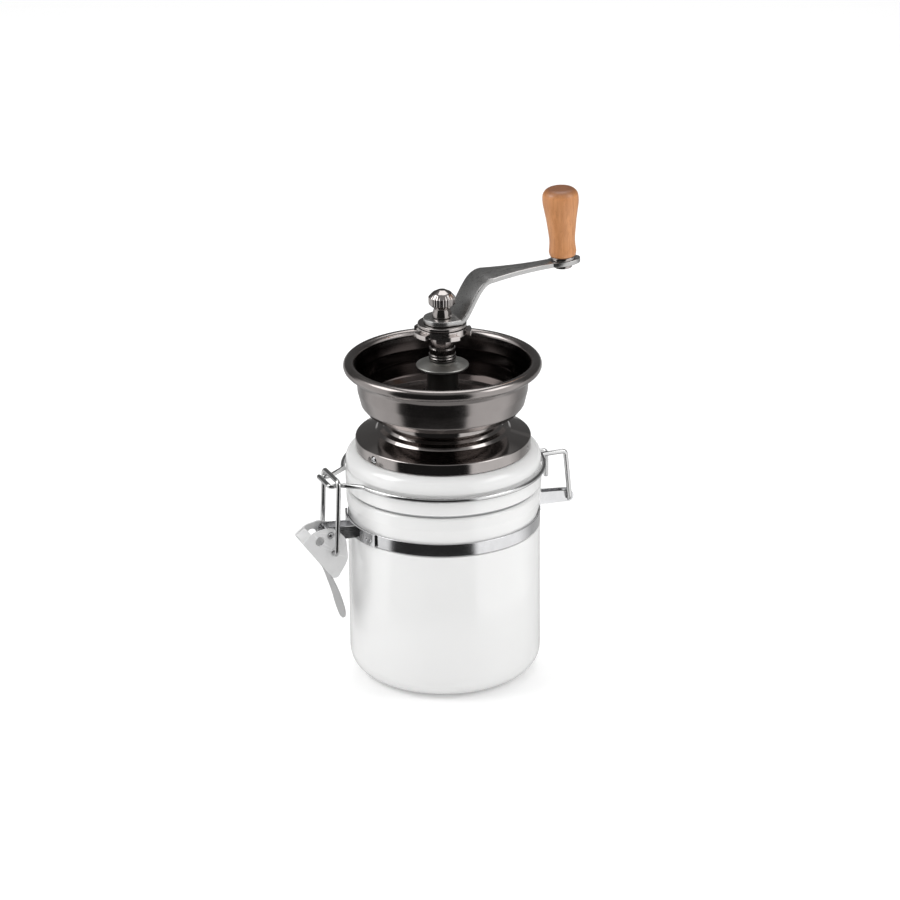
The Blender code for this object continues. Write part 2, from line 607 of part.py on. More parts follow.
def make_grip(wood, steel, crank_joint, grip_joint):
    """The turned wooden grip, and the shouldered bolt that it spins on."""
    shape = rounded([(0.0, GRIP_TOP - 3.0), (GRIP_BORE, GRIP_TOP - 3.0), (GRIP_BORE, GRIP_BASE),
                     (6.4, GRIP_BASE, 0.6), (6.8, 4.1, 1.0), (6.2, 9.6, 24.0), (7.4, 20.1, 40.0),
                     (9.0, 29.6, 18.0), (8.7, GRIP_TOP, 4.4), (0.0, GRIP_TOP + 0.2)])
    grip = turned("wood_grip", shape, wood, None, MEDIUM_ROUND)
    stand_on_pad(grip, grip_joint)
    below = -CRANK_THICKNESS - GAP
    end = GRIP_TOP - 4.0
    bolt = [(0.0, below - 1.8), (4.4, below - 1.4), (4.4, below), (2.4, below), (2.4, GAP), (6.0, GAP),
            (6.0, GRIP_BASE - GAP), (2.4, GRIP_BASE - GAP), (2.4, end), (0.0, end)]
    stand_on_pad(turned("grip_bolt", bolt, steel, None, SMALL_ROUND), crank_joint)


# ---------------------------------------------------------------- assembly

def clear_scene():
    for obj in list(bpy.data.objects):
        bpy.data.objects.remove(obj, do_unlink=True)


def build():
    clear_scene()
    glaze = finish("white_glaze", (0.86, 0.86, 0.86), 0.12)
    steel = finish("polished_steel", (0.72, 0.72, 0.73), 0.15, 1.0)
    nickel = finish("black_nickel", (0.16, 0.15, 0.145), 0.22, 1.0)
    aluminium = finish("cast_aluminium", (0.55, 0.56, 0.57), 0.45, 1.0)
    bronze = finish("bronze", (0.55, 0.36, 0.17), 0.4, 1.0)
    burr_ceramic = finish("burr_ceramic", (0.82, 0.80, 0.76), 0.5)
    silicone = finish("silicone", (0.62, 0.63, 0.64), 0.6)
    wood = finish("beech", (0.60, 0.30, 0.12), 0.5)

    lid_joint = joint_empty("lid_hinge", HINGE_CENTRE[0], 0, HINGE_CENTRE[1])
    lever_joint = joint_empty("latch_lever_pivot", LEVER_CENTRE[0], 0, LEVER_CENTRE[1])
    loop_joint = joint_empty("latch_loop_pivot", LOOP_CENTRE[0], 0, LOOP_CENTRE[1])
    crank_joint = joint_empty("crank_axis", 0, 0, CRANK_HUB_LEVEL)
    grip_joint = joint_empty("grip_axis", *pad_top())

    make_jar(glaze, steel)
    make_latch_bracket(steel)
    make_hinge_bracket(steel)
    make_lever(steel, lever_joint)
    make_loop(steel, loop_joint)

    make_lid(glaze, silicone, lid_joint)
    make_lid_wire(steel, lid_joint)
    make_mill_base(nickel, steel, lid_joint)
    make_bowl(nickel, lid_joint)
    make_column(nickel, bronze, steel, lid_joint)
    make_housing(aluminium, burr_ceramic, bronze, lid_joint)

    make_spindle(steel, crank_joint)
    burr_levels = (BURR_BOTTOM - 0.6, 116.4)
    toothed_ring("inner_burr", SPINDLE_BORE, (14.4, 7.0), burr_levels, 0.8, burr_ceramic, crank_joint)
    make_adjuster(nickel, crank_joint)
    make_crank_arm(nickel, crank_joint)
    make_crank_hub(nickel, crank_joint)
    make_grip(wood, steel, crank_joint, grip_joint)


build()
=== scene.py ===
"""Looks of the hand crank coffee grinder: fine meshes, materials, light and camera.

Sizes are in millimetres, as in the CAD source, and become metres when a mesh is made.
Every piece is drawn at its rest place in the shared frame and rides on its body.
"""
import json
import math

import bmesh
import bpy
from mathutils import Matrix, Vector


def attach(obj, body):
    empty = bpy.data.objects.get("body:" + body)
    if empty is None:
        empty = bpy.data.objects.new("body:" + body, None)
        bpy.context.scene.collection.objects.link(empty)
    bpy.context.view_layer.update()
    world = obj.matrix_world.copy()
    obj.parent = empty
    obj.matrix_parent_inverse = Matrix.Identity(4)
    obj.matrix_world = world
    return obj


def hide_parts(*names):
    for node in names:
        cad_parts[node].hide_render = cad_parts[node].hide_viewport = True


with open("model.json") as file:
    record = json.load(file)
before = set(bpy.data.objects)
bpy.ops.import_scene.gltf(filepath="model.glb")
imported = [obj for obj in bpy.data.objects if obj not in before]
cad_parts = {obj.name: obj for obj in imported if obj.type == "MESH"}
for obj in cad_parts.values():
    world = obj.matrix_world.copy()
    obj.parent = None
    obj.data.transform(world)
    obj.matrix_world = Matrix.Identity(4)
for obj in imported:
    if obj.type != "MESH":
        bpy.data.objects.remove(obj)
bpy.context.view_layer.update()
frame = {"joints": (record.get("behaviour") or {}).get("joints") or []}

MM = 0.001
GAP = 0.3                     # clearance kept between neighbouring pieces

# Jar and band
JAR_RADIUS = 47.8
JAR_WALL = 4.2
JAR_HEIGHT = 97.6
JAR_FLOOR = 5.0
JAR_FOOT_FILLET = 12.0
MOUTH_RADIUS = 42.6
BAND_BOTTOM = 77.8
BAND_TOP = 84.2
BAND_THICKNESS = 0.6
GROOVE_RADIUS = 47.0

# Lid
LID_RADIUS = 48.6
LID_BOTTOM = 99.2
LID_TOP = 118.0
LID_HOLE_RADIUS = 24.5
PLUG_RADIUS = 40.8
PLUG_BOTTOM = 95.0

# Clip wires
WIRE_RADIUS = 1.2
WIRE_RING_RADIUS = 49.8
WIRE_LEVEL = 108.0

# Mill body
FLANGE_RADIUS = 43.4
FLANGE_BOTTOM = LID_TOP + GAP
BOWL_BOTTOM = 137.3
BEAD_CENTRE_RADIUS = 46.0
BEAD_RADIUS = 2.8
BEAD_LEVEL = 160.6
HOUSING_RADIUS = 23.5
BURR_BOTTOM = 100.9

# Spindle, crank and grip
SPINDLE_RADIUS = 3.0
SPINDLE_BORE = 3.4
CRANK_HUB_LEVEL = 182.6
CRANK_THICKNESS = 2.4
CRANK_HUB_RADIUS = 9.2
CRANK_RISE_START = 6.5
CRANK_RISE_END = 25.0
CRANK_ARM_LEVEL = 201.97
CRANK_REACH = 64.4
CRANK_TILT = math.radians(2.5)
PAD_HALF_LENGTH = 9.0
PAD_HALF_WIDTH = 5.6
GRIP_BASE = 2.1
GRIP_TOP = 36.5
GRIP_BORE = 2.8

JOINTS = {joint["name"]: joint for joint in frame["joints"]}


def joint_centre(name):
    """A hinge's centre in the XZ plane, in millimetres."""
    x, _, z = JOINTS[name]["pos_m"]
    return (x / MM, z / MM)


HINGE_CENTRE = joint_centre("lid_hinge")
LEVER_CENTRE = joint_centre("latch_lever")
LOOP_CENTRE = joint_centre("latch_loop")

LARGE_ROUND = 168             # segments of the jar, lid and bowl
MEDIUM_ROUND = 96
SMALL_ROUND = 40
WIRE_SIDES = 18

CAMERA_AZIMUTH = math.radians(-22.0)
CAMERA_ELEVATION = math.radians(22.2)
CAMERA_ROLL = math.radians(-0.55)
CAMERA_DISTANCE = 1.993
CAMERA_TARGET = Vector((0, 0, 0.0781))
CAMERA_LENS = 160.0
CAMERA_SHIFT = (0.0067, 0.0771)

AMBIENT = 0.68                # light on matt surfaces from all round
MIRROR_LIGHT = 1.2            # brightness of the softboxes that metal mirrors
OVERHEAD_LIGHT = 0.34
OVERHEAD_START = 0.55         # sine of the elevation where the overhead light begins
OVERHEAD_FULL = 0.85
FLOOR_RADIUS = 6.0
FLOOR_DROP = 0.0001           # keeps the floor just under the jar
FLOOR_GLOW = 0.12
FLOOR_NEAR = 0.125            # radius of the even patch that metal mirrors round the jar
FLOOR_BLEND = 0.03
FLOOR_NEAR_LIGHT = 0.42


# ---------------------------------------------------------------- node helpers

def add_node(tree, kind, inputs=None, **settings):
    """Add a node, set its properties and fill or link its inputs."""
    made = tree.nodes.new(kind)
    for key, value in settings.items():
        setattr(made, key, value)
    for key, value in (inputs or {}).items():
        if isinstance(value, bpy.types.NodeSocket):
            tree.links.new(value, made.inputs[key])
        else:
            made.inputs[key].default_value = value
    return made


def add_mix(tree, factor, first, second):
    """Mix two colours, each of them a socket or an (r, g, b)."""
    inputs = {0: factor}
    for index, colour in ((6, first), (7, second)):
        inputs[index] = colour if isinstance(colour, bpy.types.NodeSocket) else (*colour, 1.0)
    return add_node(tree, "ShaderNodeMix", inputs, data_type="RGBA").outputs[2]


def grey(level):
    return (level, level, level)


def shade(colour, factor):
    """A colour made darker or lighter, up to white."""
    return tuple(min(1.0, channel * factor) for channel in colour)


class Look:
    """A Principled material that is put together node by node."""

    def __init__(self, name, colour, roughness, metallic=0.0, **constants):
        self.material = bpy.data.materials.new(name)
        self.material.use_nodes = True
        self.tree = self.material.node_tree
        self.shader = self.tree.nodes["Principled BSDF"]
        self.set("Base Color", (*colour, 1.0))
        self.set("Roughness", roughness)
        self.set("Metallic", metallic)
        for socket, value in constants.items():
            self.set(socket.replace("_", " "), value)
        coordinates = self.node("ShaderNodeTexCoord").outputs
        self.place = coordinates["Object"]
        self.facing = coordinates["Normal"]

    def set(self, socket, value):
        self.shader.inputs[socket].default_value = value

    def link(self, output, socket):
        self.tree.links.new(output, self.shader.inputs[socket])

    def node(self, kind, inputs=None, **settings):
        return add_node(self.tree, kind, inputs, **settings)

    def mix(self, factor, first, second):
        return add_mix(self.tree, factor, first, second)

    def noise(self, scale, detail=3.0, rough=0.55, place=None, distortion=0.0):
        """Noise from 0 to 1 at a scale in cells per metre."""
        inputs = {"Vector": place or self.place, "Scale": scale, "Detail": detail, "Roughness": rough,
                  "Distortion": distortion}
        return self.node("ShaderNodeTexNoise", inputs).outputs["Fac"]

    def stretched(self, x, y, z):
        """Object coordinates scaled on each axis."""
        return self.node("ShaderNodeMapping", {"Vector": self.place, "Scale": (x, y, z)}).outputs["Vector"]

    def off_axis(self):
        """Object coordinates without their height, how long they are, and the height."""
        split = self.node("ShaderNodeSeparateXYZ", {"Vector": self.place}).outputs
        flat = self.node("ShaderNodeCombineXYZ", {"X": split["X"], "Y": split["Y"]}).outputs["Vector"]
        radius = self.node("ShaderNodeVectorMath", {0: flat}, operation="LENGTH").outputs["Value"]
        return flat, radius, split["Z"]

    def lathe(self, scale):
        """Coordinates that are constant round the Z axis, so noise in them makes turned rings."""
        _, radius, height = self.off_axis()
        joined = self.node("ShaderNodeCombineXYZ", {"X": radius, "Y": height}).outputs["Vector"]
        inputs = {"Vector": joined, "Scale": (scale, scale, 1)}
        return self.node("ShaderNodeMapping", inputs).outputs["Vector"]

    def remap(self, value, low, high, to_low, to_high):
        inputs = {"Value": value, "From Min": low, "From Max": high, "To Min": to_low, "To Max": to_high}
        return self.node("ShaderNodeMapRange", inputs).outputs["Result"]

    def product(self, first, second):
        return self.node("ShaderNodeMath", {0: first, 1: second}, operation="MULTIPLY").outputs["Value"]

    def bump(self, height, distance, strength=1.0, under=None):
        """A bump normal, on top of another one if it is given."""
        inputs = {"Height": height, "Distance": distance, "Strength": strength}
        if under is not None:
            inputs["Normal"] = under
        return self.node("ShaderNodeBump", inputs).outputs["Normal"]

    def edges(self, low=0.52, high=0.62):
        """1 on outer edges, 0 elsewhere, for a painted highlight that lightens them."""
        pointy = self.node("ShaderNodeNewGeometry").outputs["Pointiness"]
        return self.remap(pointy, low, high, 0.0, 1.0)


# ---------------------------------------------------------------- materials

def glaze_look():
    look = Look("white_glaze", (0.85, 0.85, 0.845), 0.09, Coat_Weight=0.25, Coat_Roughness=0.04)
    tone = look.noise(28.0, 2.0)
    speck = look.remap(look.noise(1600.0, 2.0, 0.7), 0.70, 0.76, 0.0, 0.35)
    base = look.mix(tone, (0.84, 0.84, 0.835), (0.875, 0.875, 0.87))
    look.link(look.mix(speck, base, (0.72, 0.71, 0.69)), "Base Color")
    look.link(look.remap(look.noise(75.0, 4.0), 0.3, 0.7, 0.06, 0.14), "Roughness")
    wave = look.bump(look.noise(38.0, 2.0), 0.0006, 0.25)
    look.link(look.bump(look.noise(900.0, 3.0), 0.00002, 0.5, wave), "Normal")
    return look.material


def steel_look(name, colour, rough_low, rough_high, grain):
    """Polished or satin stainless, with drawn grain and a painted highlight on its edges."""
    look = Look(name, colour, rough_low, 1.0)
    base = look.mix(look.noise(210.0, 4.0), shade(colour, 0.82), colour)
    # painted highlight: the outer edges are lightened
    look.link(look.mix(look.edges(), base, shade(colour, 1.18)), "Base Color")
    scratch = look.noise(1.0, 4.0, 0.7, look.stretched(*grain))
    look.link(look.remap(scratch, 0.3, 0.7, rough_low, rough_high), "Roughness")
    smooth = look.bump(look.noise(160.0, 2.0), 0.00008, 0.3)
    look.link(look.bump(scratch, 0.00001, 0.5, smooth), "Normal")
    return look.material


def sheet_look(name, colour, metallic, roughness):
    """Brushed zinc-bright sheet, which scatters more light than it mirrors, with a painted highlight on its
    edges.
    """
    look = Look(name, colour, roughness, metallic)
    base = look.mix(look.noise(70.0, 3.0), shade(colour, 0.95), colour)
    # painted highlight: the outer edges are lightened a little
    look.link(look.mix(look.edges(), base, shade(colour, 1.1)), "Base Color")
    brushed = look.noise(1.0, 4.0, 0.7, look.stretched(300.0, 2400.0, 2400.0))
    look.link(look.remap(brushed, 0.3, 0.7, roughness * 0.85, roughness * 1.15), "Roughness")
    look.link(look.bump(brushed, 0.000006, 0.5), "Normal")
    return look.material


def plated_nickel(name, colour, rough_low, rough_high, ring_depth):
    """Dark nickel plate with the turned rings of spinning and polishing, its colour, and a painted highlight
    on its edges.
    """
    look = Look(name, colour, rough_low, 1.0)
    rings = look.noise(1.0, 5.0, 0.75, look.lathe(2600.0))
    smear = look.noise(95.0, 4.0, 0.6)
    base = look.mix(smear, shade(colour, 0.86), shade(colour, 1.1))
    # painted highlight: the outer edges are made half as light again; the result carries it
    plate = look.mix(look.edges(), base, shade(colour, 1.5))
    look.link(plate, "Base Color")
    look.link(look.remap(look.product(rings, smear), 0.1, 0.4, rough_low, rough_high), "Roughness")
    wave = look.bump(look.noise(120.0, 2.0), 0.00006, 0.25)
    look.link(look.bump(rings, ring_depth, 1.0, wave), "Normal")
    return look, plate


def nickel_look(*values):
    look, _ = plated_nickel(*values)
    return look.material


def bowl_look():
    """Black nickel whose inside below the rim is darkened with painted shade."""
    look, plate = plated_nickel("bowl_nickel", (0.28, 0.258, 0.25), 0.13, 0.24, 0.000006)
    flat, radius, _ = look.off_axis()
    outward = look.node("ShaderNodeVectorMath", {0: look.facing, 1: flat}, operation="DOT_PRODUCT")
    inside = look.remap(outward.outputs["Value"], -0.004, -0.012, 0.0, 1.0)
    rim = (BEAD_CENTRE_RADIUS - 2.6) * MM
    below_rim = look.remap(radius, rim, 0.98 * rim, 0.0, 1.0)
    # painted shade: the inward faces below the rim are made nearly black
    shaded_inside = look.mix(look.product(inside, below_rim), plate, (0.05, 0.042, 0.04))
    look.link(shaded_inside, "Base Color")
    return look.material


def satin_arm_look():
    """Dark satin plate of the crank arm, drawn along its length, with a painted highlight on its edges."""
    look = Look("crank_nickel", (0.45, 0.45, 0.45), 0.3, 1.0)
    drawn = look.noise(1.0, 5.0, 0.7, look.stretched(140.0, 2600.0, 900.0))
    smear = look.noise(80.0, 3.0)
    base = look.mix(smear, (0.42, 0.417, 0.413), (0.48, 0.475, 0.47))
    # painted highlight: the outer edges are lightened
    look.link(look.mix(look.edges(0.52, 0.58), base, (0.62, 0.60, 0.58)), "Base Color")
    look.link(look.remap(drawn, 0.3, 0.7, 0.22, 0.38), "Roughness")
    look.link(look.bump(drawn, 0.000006, 0.5), "Normal")
    return look.material


def wood_look():
    """Oiled beech: long grain, fine pores, growth rings and darker end grain."""
    look = Look("beech", (0.58, 0.28, 0.12), 0.40, Specular_IOR_Level=0.5, Coat_Weight=0.15,
                Coat_Roughness=0.25)
    drift = look.noise(1.0, 2.0, 0.5, look.stretched(90.0, 90.0, 22.0))
    grain = look.noise(1.0, 5.0, 0.62, look.stretched(650.0, 650.0, 26.0), 0.6)
    pores = look.noise(1.0, 3.0, 0.7, look.stretched(3400.0, 3400.0, 170.0))
    base = look.mix(look.remap(grain, 0.32, 0.68, 0.0, 1.0), (0.46, 0.175, 0.055), (0.72, 0.33, 0.125))
    base = look.mix(look.remap(drift, 0.35, 0.65, 0.0, 0.45), base, (0.60, 0.26, 0.10))
    pore = look.remap(pores, 0.60, 0.72, 0.0, 0.75)
    base = look.mix(pore, base, (0.24, 0.09, 0.035))
    upward = look.node("ShaderNodeSeparateXYZ", {"Vector": look.facing}).outputs["Z"]
    end_grain = look.remap(upward, 0.3, 0.95, 0.0, 0.85)
    look.link(look.mix(end_grain, base, (0.15, 0.055, 0.024)), "Base Color")
    look.link(look.remap(pores, 0.3, 0.7, 0.30, 0.46), "Roughness")
    relief = look.bump(grain, 0.00008, 0.5)
    look.link(look.bump(pores, 0.00006, -0.5, relief), "Normal")
    return look.material


def cast_look(name, colour, roughness, metallic, grain):
    """A grainy casting, fired ceramic or moulded rubber."""
    look = Look(name, colour, roughness, metallic)
    fine = look.noise(grain, 4.0, 0.65)
    base = look.mix(look.noise(grain / 12, 3.0), shade(colour, 0.85), shade(colour, 1.08))
    look.link(base, "Base Color")
    look.link(look.remap(fine, 0.3, 0.7, roughness * 0.8, min(1.0, roughness * 1.2)), "Roughness")
    look.link(look.bump(fine, 0.00004, 0.7), "Normal")
    return look.material


# ---------------------------------------------------------------- mesh helpers

def arc(centre, radius, start, end, steps):
    """Points of an arc, angles in degrees, both ends included."""
    angles = [math.radians(start + (end - start) * i / steps) for i in range(steps + 1)]
    return [(centre[0] + radius * math.cos(a), centre[1] + radius * math.sin(a)) for a in angles]


def rounded(corners, steps=8, closed=True):
    """Turn corners (u, v) or (u, v, radius) into points, with an arc at each given radius."""
    points = []
    count = len(corners)
    for i, corner in enumerate(corners):
        here = Vector(corner[:2])
        at_end = not closed and i in (0, count - 1)
        if len(corner) == 2 or at_end:
            points.append(tuple(here))
            continue
        before = (Vector(corners[i - 1][:2]) - here).normalized()
        after = (Vector(corners[(i + 1) % count][:2]) - here).normalized()
        half_angle = before.angle(after) / 2
        reach = corner[2] / math.tan(half_angle)
        centre = here + (before + after).normalized() * corner[2] / math.sin(half_angle)
        first = here + before * reach - centre
        last = here + after * reach - centre
        turn = first.angle_signed(last)
        for k in range(steps + 1):
            points.append(tuple(centre + Matrix.Rotation(-turn * k / steps, 2) @ first))
    return points


def rounded_path(corners, radius, steps=10):
    """A 3D path through the corners, with an arc of the given radius at each inner one."""
    points = [Vector(corners[0])]
    for before, here, after in zip(corners, corners[1:], corners[2:]):
        here = Vector(here)
        to_before = (Vector(before) - here).normalized()
        to_after = (Vector(after) - here).normalized()
        half_angle = to_before.angle(to_after) / 2
        centre = here + (to_before + to_after).normalized() * radius / math.sin(half_angle)
        first = here + to_before * radius / math.tan(half_angle) - centre
        axis = first.cross(here + to_after * radius / math.tan(half_angle) - centre)
        turn = math.pi - 2 * half_angle
        for k in range(steps + 1):
            points.append(centre + Matrix.Rotation(turn * k / steps, 3, axis) @ first)
    points.append(Vector(corners[-1]))
    return points


def mesh_object(name, bm, look=None, sharp=38):
    """Make an object of a bmesh drawn in millimetres, facing out."""
    bmesh.ops.remove_doubles(bm, verts=bm.verts, dist=0.0005)
    bmesh.ops.recalc_face_normals(bm, faces=bm.faces)
    bmesh.ops.scale(bm, vec=(MM, MM, MM), verts=bm.verts)
    mesh = bpy.data.meshes.new(name)
    bm.to_mesh(mesh)
    bm.free()
    mesh.shade_smooth()
    mesh.set_sharp_from_angle(angle=math.radians(sharp))
    if look is not None:
        mesh.materials.append(look)
    obj = bpy.data.objects.new(name, mesh)
    bpy.context.scene.collection.objects.link(obj)
    return obj


def finish_piece(obj, body, node):
    """Put a piece on its body, in place of its CAD node."""
    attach(obj, body)
    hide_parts(node)


def spin_mesh(outline, segments=LARGE_ROUND):
    """A closed (radius, height) outline spun about Z."""
    bm = bmesh.new()
    verts = [bm.verts.new((r, 0, z)) for r, z in outline]
    edges = [bm.edges.new((a, b)) for a, b in zip(verts, verts[1:] + verts[:1])]
    bmesh.ops.spin(bm, geom=edges, cent=(0, 0, 0), axis=(0, 0, 1), angle=2 * math.pi, steps=segments,
                   use_merge=False, use_duplicate=False)
    return bm


def turned(name, outline, look, body, node, segments=LARGE_ROUND):
    """A turned piece in place of its CAD node."""
    finish_piece(mesh_object(name, spin_mesh(outline, segments), look), body, node)


def turned_cutter(outline, segments=SMALL_ROUND):
    """A turned tool for a Boolean."""
    return mesh_object("turned_cutter", spin_mesh(outline, segments))


def ring_outline(inner, outer, bottom, top, ease=0.2):
    """Ring section with eased edges."""
    return rounded([(inner, bottom, ease), (outer, bottom, ease), (outer, top, ease), (inner, top, ease)], 4)


def bore_outline(radius, bottom, top):
    """Section of a plain round cutter on the Z axis."""
    return [(0.0, bottom), (radius, bottom), (radius, top), (0.0, top)]


def add_prism(bm, outline, low, high, plane="XY"):
    """Extrude an outline between two levels of the axis square to its plane."""
    place = {"XY": lambda u, v, w: (u, v, w),
             "XZ": lambda u, v, w: (u, w, v),
             "YZ": lambda u, v, w: (w, u, v)}[plane]
    bottom = bm.faces.new([bm.verts.new(place(u, v, low)) for u, v in outline])
    grown = bmesh.ops.extrude_face_region(bm, geom=[bottom])
    top = [item for item in grown["geom"] if isinstance(item, bmesh.types.BMVert)]
    offset = Vector(place(0, 0, high)) - Vector(place(0, 0, low))
    bmesh.ops.translate(bm, vec=offset, verts=top)


def prism(name, outline, low, high, plane="XY", look=None):
    """One extruded plate or block."""
    bm = bmesh.new()
    add_prism(bm, outline, low, high, plane)
    return mesh_object(name, bm, look)


def spoke(outline, low, high, heading):
    """A block drawn along X and swung round Z to a heading in degrees, as a tool for a Boolean."""
    bm = bmesh.new()
    add_prism(bm, outline, low, high)
    swing = Matrix.Rotation(math.radians(heading), 3, "Z")
    bmesh.ops.rotate(bm, cent=(0, 0, 0), matrix=swing, verts=bm.verts)
    return mesh_object("spoke", bm)


def loft(bm, rows):
    """Join rows of vertices, each a closed loop, into one closed skin."""
    count = len(rows[0])
    for low, high in zip(rows, rows[1:]):
        for k in range(count):
            after = (k + 1) % count
            bm.faces.new((low[k], low[after], high[after], high[k]))
    bm.faces.new(rows[0][::-1])
    bm.faces.new(rows[-1])


def eased_ends(path, radius):
    """Add short steps at both ends of a path, and say how much the section shrinks at each point."""
    out = path[1] - path[0]
    back = path[-2] - path[-1]
    reach_out = min(1.0, radius / out.length)
    reach_back = min(1.0, radius / back.length)
    ease = [(0.0, 0.55), (0.12, 0.82), (0.35, 0.97), (0.6, 1.0)]
    start = [(path[0] + out * reach_out * d, s) for d, s in ease]
    end = [(path[-1] + back * reach_back * d, s) for d, s in reversed(ease)]
    return start + [(point, 1.0) for point in path[1:-1]] + end


def tube(name, path, radius, look=None, sides=WIRE_SIDES):
    """A bent round wire or a short pin, with eased ends."""
    stations = eased_ends([Vector(point) for point in path], radius)
    points = [point for point, _ in stations]
    runs = [(b - a).normalized() for a, b in zip(points, points[1:])]
    tangents = [runs[0]] + [(a + b).normalized() for a, b in zip(runs, runs[1:])] + [runs[-1]]
    side = tangents[0].orthogonal().normalized()
    turns = [2 * math.pi * k / sides for k in range(sides)]
    bm = bmesh.new()
    rings = []
    for (point, shrink), tangent in zip(stations, tangents):
        side = (side - tangent * side.dot(tangent)).normalized()
        up = tangent.cross(side)
        reach = radius * shrink
        rings.append([bm.verts.new(point + (side * math.cos(a) + up * math.sin(a)) * reach) for a in turns])
    loft(bm, rings)
    return mesh_object(name, bm, look)


def rod_along_y(name, centre, radius, low, high):
    """A round bar along Y through a point of the XZ plane."""
    return prism(name, arc(centre, radius, 0, 360 - 360 / SMALL_ROUND, SMALL_ROUND - 1), low, high, "XZ")


def shaped(obj, tools, bevel=0.0, sharp=38):
    """Apply (tool, operation) Booleans in turn, then soften the edges, and remove the tools."""
    for tool, operation in tools:
        modifier = obj.modifiers.new(tool.name, "BOOLEAN")
        modifier.operation = operation
        modifier.solver = "EXACT"
        modifier.object = tool
    if bevel:
        modifier = obj.modifiers.new("soft_edges", "BEVEL")
        modifier.width = bevel * MM
        modifier.segments = 3
        modifier.limit_method = "ANGLE"
        modifier.angle_limit = math.radians(40)
        modifier = obj.modifiers.new("flat_faces", "WEIGHTED_NORMAL")
        modifier.weight = 100
    bpy.context.view_layer.update()
    baked = bpy.data.meshes.new_from_object(obj.evaluated_get(bpy.context.evaluated_depsgraph_get()))
    obj.modifiers.clear()
    old = obj.data
    obj.data = baked
    bpy.data.meshes.remove(old)
    for tool, _ in tools:
        bpy.data.objects.remove(tool, do_unlink=True)
    if not bevel:
        baked.shade_smooth()
        baked.set_sharp_from_angle(angle=math.radians(sharp))
    return obj


# ---------------------------------------------------------------- jar

def make_jar(looks):
    inner = JAR_RADIUS - JAR_WALL
    outline = rounded([
        (0.0, 0.0), (JAR_RADIUS, 0.0, JAR_FOOT_FILLET), (JAR_RADIUS, BAND_BOTTOM - 0.6, 0.3),
        (GROOVE_RADIUS, BAND_BOTTOM - 0.2), (GROOVE_RADIUS, BAND_TOP + 0.2, 0.6),
        (JAR_RADIUS + 0.6, JAR_HEIGHT - 6.0, 4.0), (JAR_RADIUS + 0.6, JAR_HEIGHT, 1.5),
        (MOUTH_RADIUS, JAR_HEIGHT, 1.0), (MOUTH_RADIUS, BAND_TOP + 4.0, 3.0),
        (inner, BAND_TOP, 3.0), (inner, JAR_FLOOR, 10.0), (0.0, JAR_FLOOR)], 10)
    turned("jar_shell", outline, looks["glaze"], "jar", "jar_body")
    band_inner = GROOVE_RADIUS + GAP
    band = ring_outline(band_inner, band_inner + BAND_THICKNESS, BAND_BOTTOM, BAND_TOP, 0.22)
    turned("steel_band", band, looks["steel"], "jar", "neck_band")


def make_latch_bracket(looks):
    """A strap welded on the band, with two arms that carry the lever's pin."""
    inner = GROOVE_RADIUS + GAP + BAND_THICKNESS + GAP
    outer = inner + 0.9
    strap = arc((0, 0), outer, 156, 204, 48) + arc((0, 0), inner, 204, 156, 48)
    bracket = prism("latch_strap", strap, BAND_BOTTOM, BAND_TOP, "XY", looks["steel"])
    root = -inner - 0.4
    arm = [(root, BAND_BOTTOM + 0.2), (root, BAND_TOP - 0.1)] + arc(LEVER_CENTRE, 3.4, 80, 260, 24)
    tools = [(prism("arm_near", arm, -4.4, -3.5, "XZ"), "UNION"),
             (prism("arm_far", arm, 3.5, 4.4, "XZ"), "UNION"),
             (rod_along_y("bore", LEVER_CENTRE, 1.8, -8, 8), "DIFFERENCE")]
    for heading in (159.5, 162.5, 197.5, 200.5):
        turn = math.radians(heading)
        out = Vector((math.cos(turn), math.sin(turn), 0))
        level = Vector((0, 0, (BAND_BOTTOM + BAND_TOP) / 2))
        weld = tube("weld", [level + out * (outer - 0.25), level + out * (outer + 1)], 0.8)
        tools.append((weld, "DIFFERENCE"))
    finish_piece(shaped(bracket, tools, 0.16), "jar", "latch_bracket")
    pin_path = [(LEVER_CENTRE[0], y, LEVER_CENTRE[1]) for y in (-7.4, 0.0, 7.4)]
    pin = tube("lever_pin", pin_path, 1.5, looks["steel"], 32)
    finish_piece(pin, "jar", "latch_pin")


def make_hinge_bracket(looks):
    """A plate on the band with two ears that hold the bent end of the lid's wire."""
    plate_back = GROOVE_RADIUS + 2 * GAP + BAND_THICKNESS
    plate_front = plate_back + 0.9
    near, far, top = -8.0, 1.0, 87.2
    plate = rounded([(near, BAND_BOTTOM, 1.0), (far, BAND_BOTTOM, 1.0), (far, top, 1.0), (near, top, 1.0)], 5)
    bracket = prism("hinge_plate", plate, plate_back, plate_front, "YZ", looks["steel"])
    x, z = HINGE_CENTRE
    ear = [(plate_front - 0.4, 87.0), (plate_front - 0.4, 80.4)] + arc((x, z + 0.6), 3.0, 250, 450, 24)
    tools = [(prism("ear_near", ear, -6.1, -5.2, "XZ"), "UNION"),
             (prism("ear_far", ear, -2.0, -1.1, "XZ"), "UNION"),
             (rod_along_y("bore", HINGE_CENTRE, 1.55, -8, 2), "DIFFERENCE")]
    finish_piece(shaped(bracket, tools, 0.16), "jar", "hinge_bracket")


# ---------------------------------------------------------------- latch

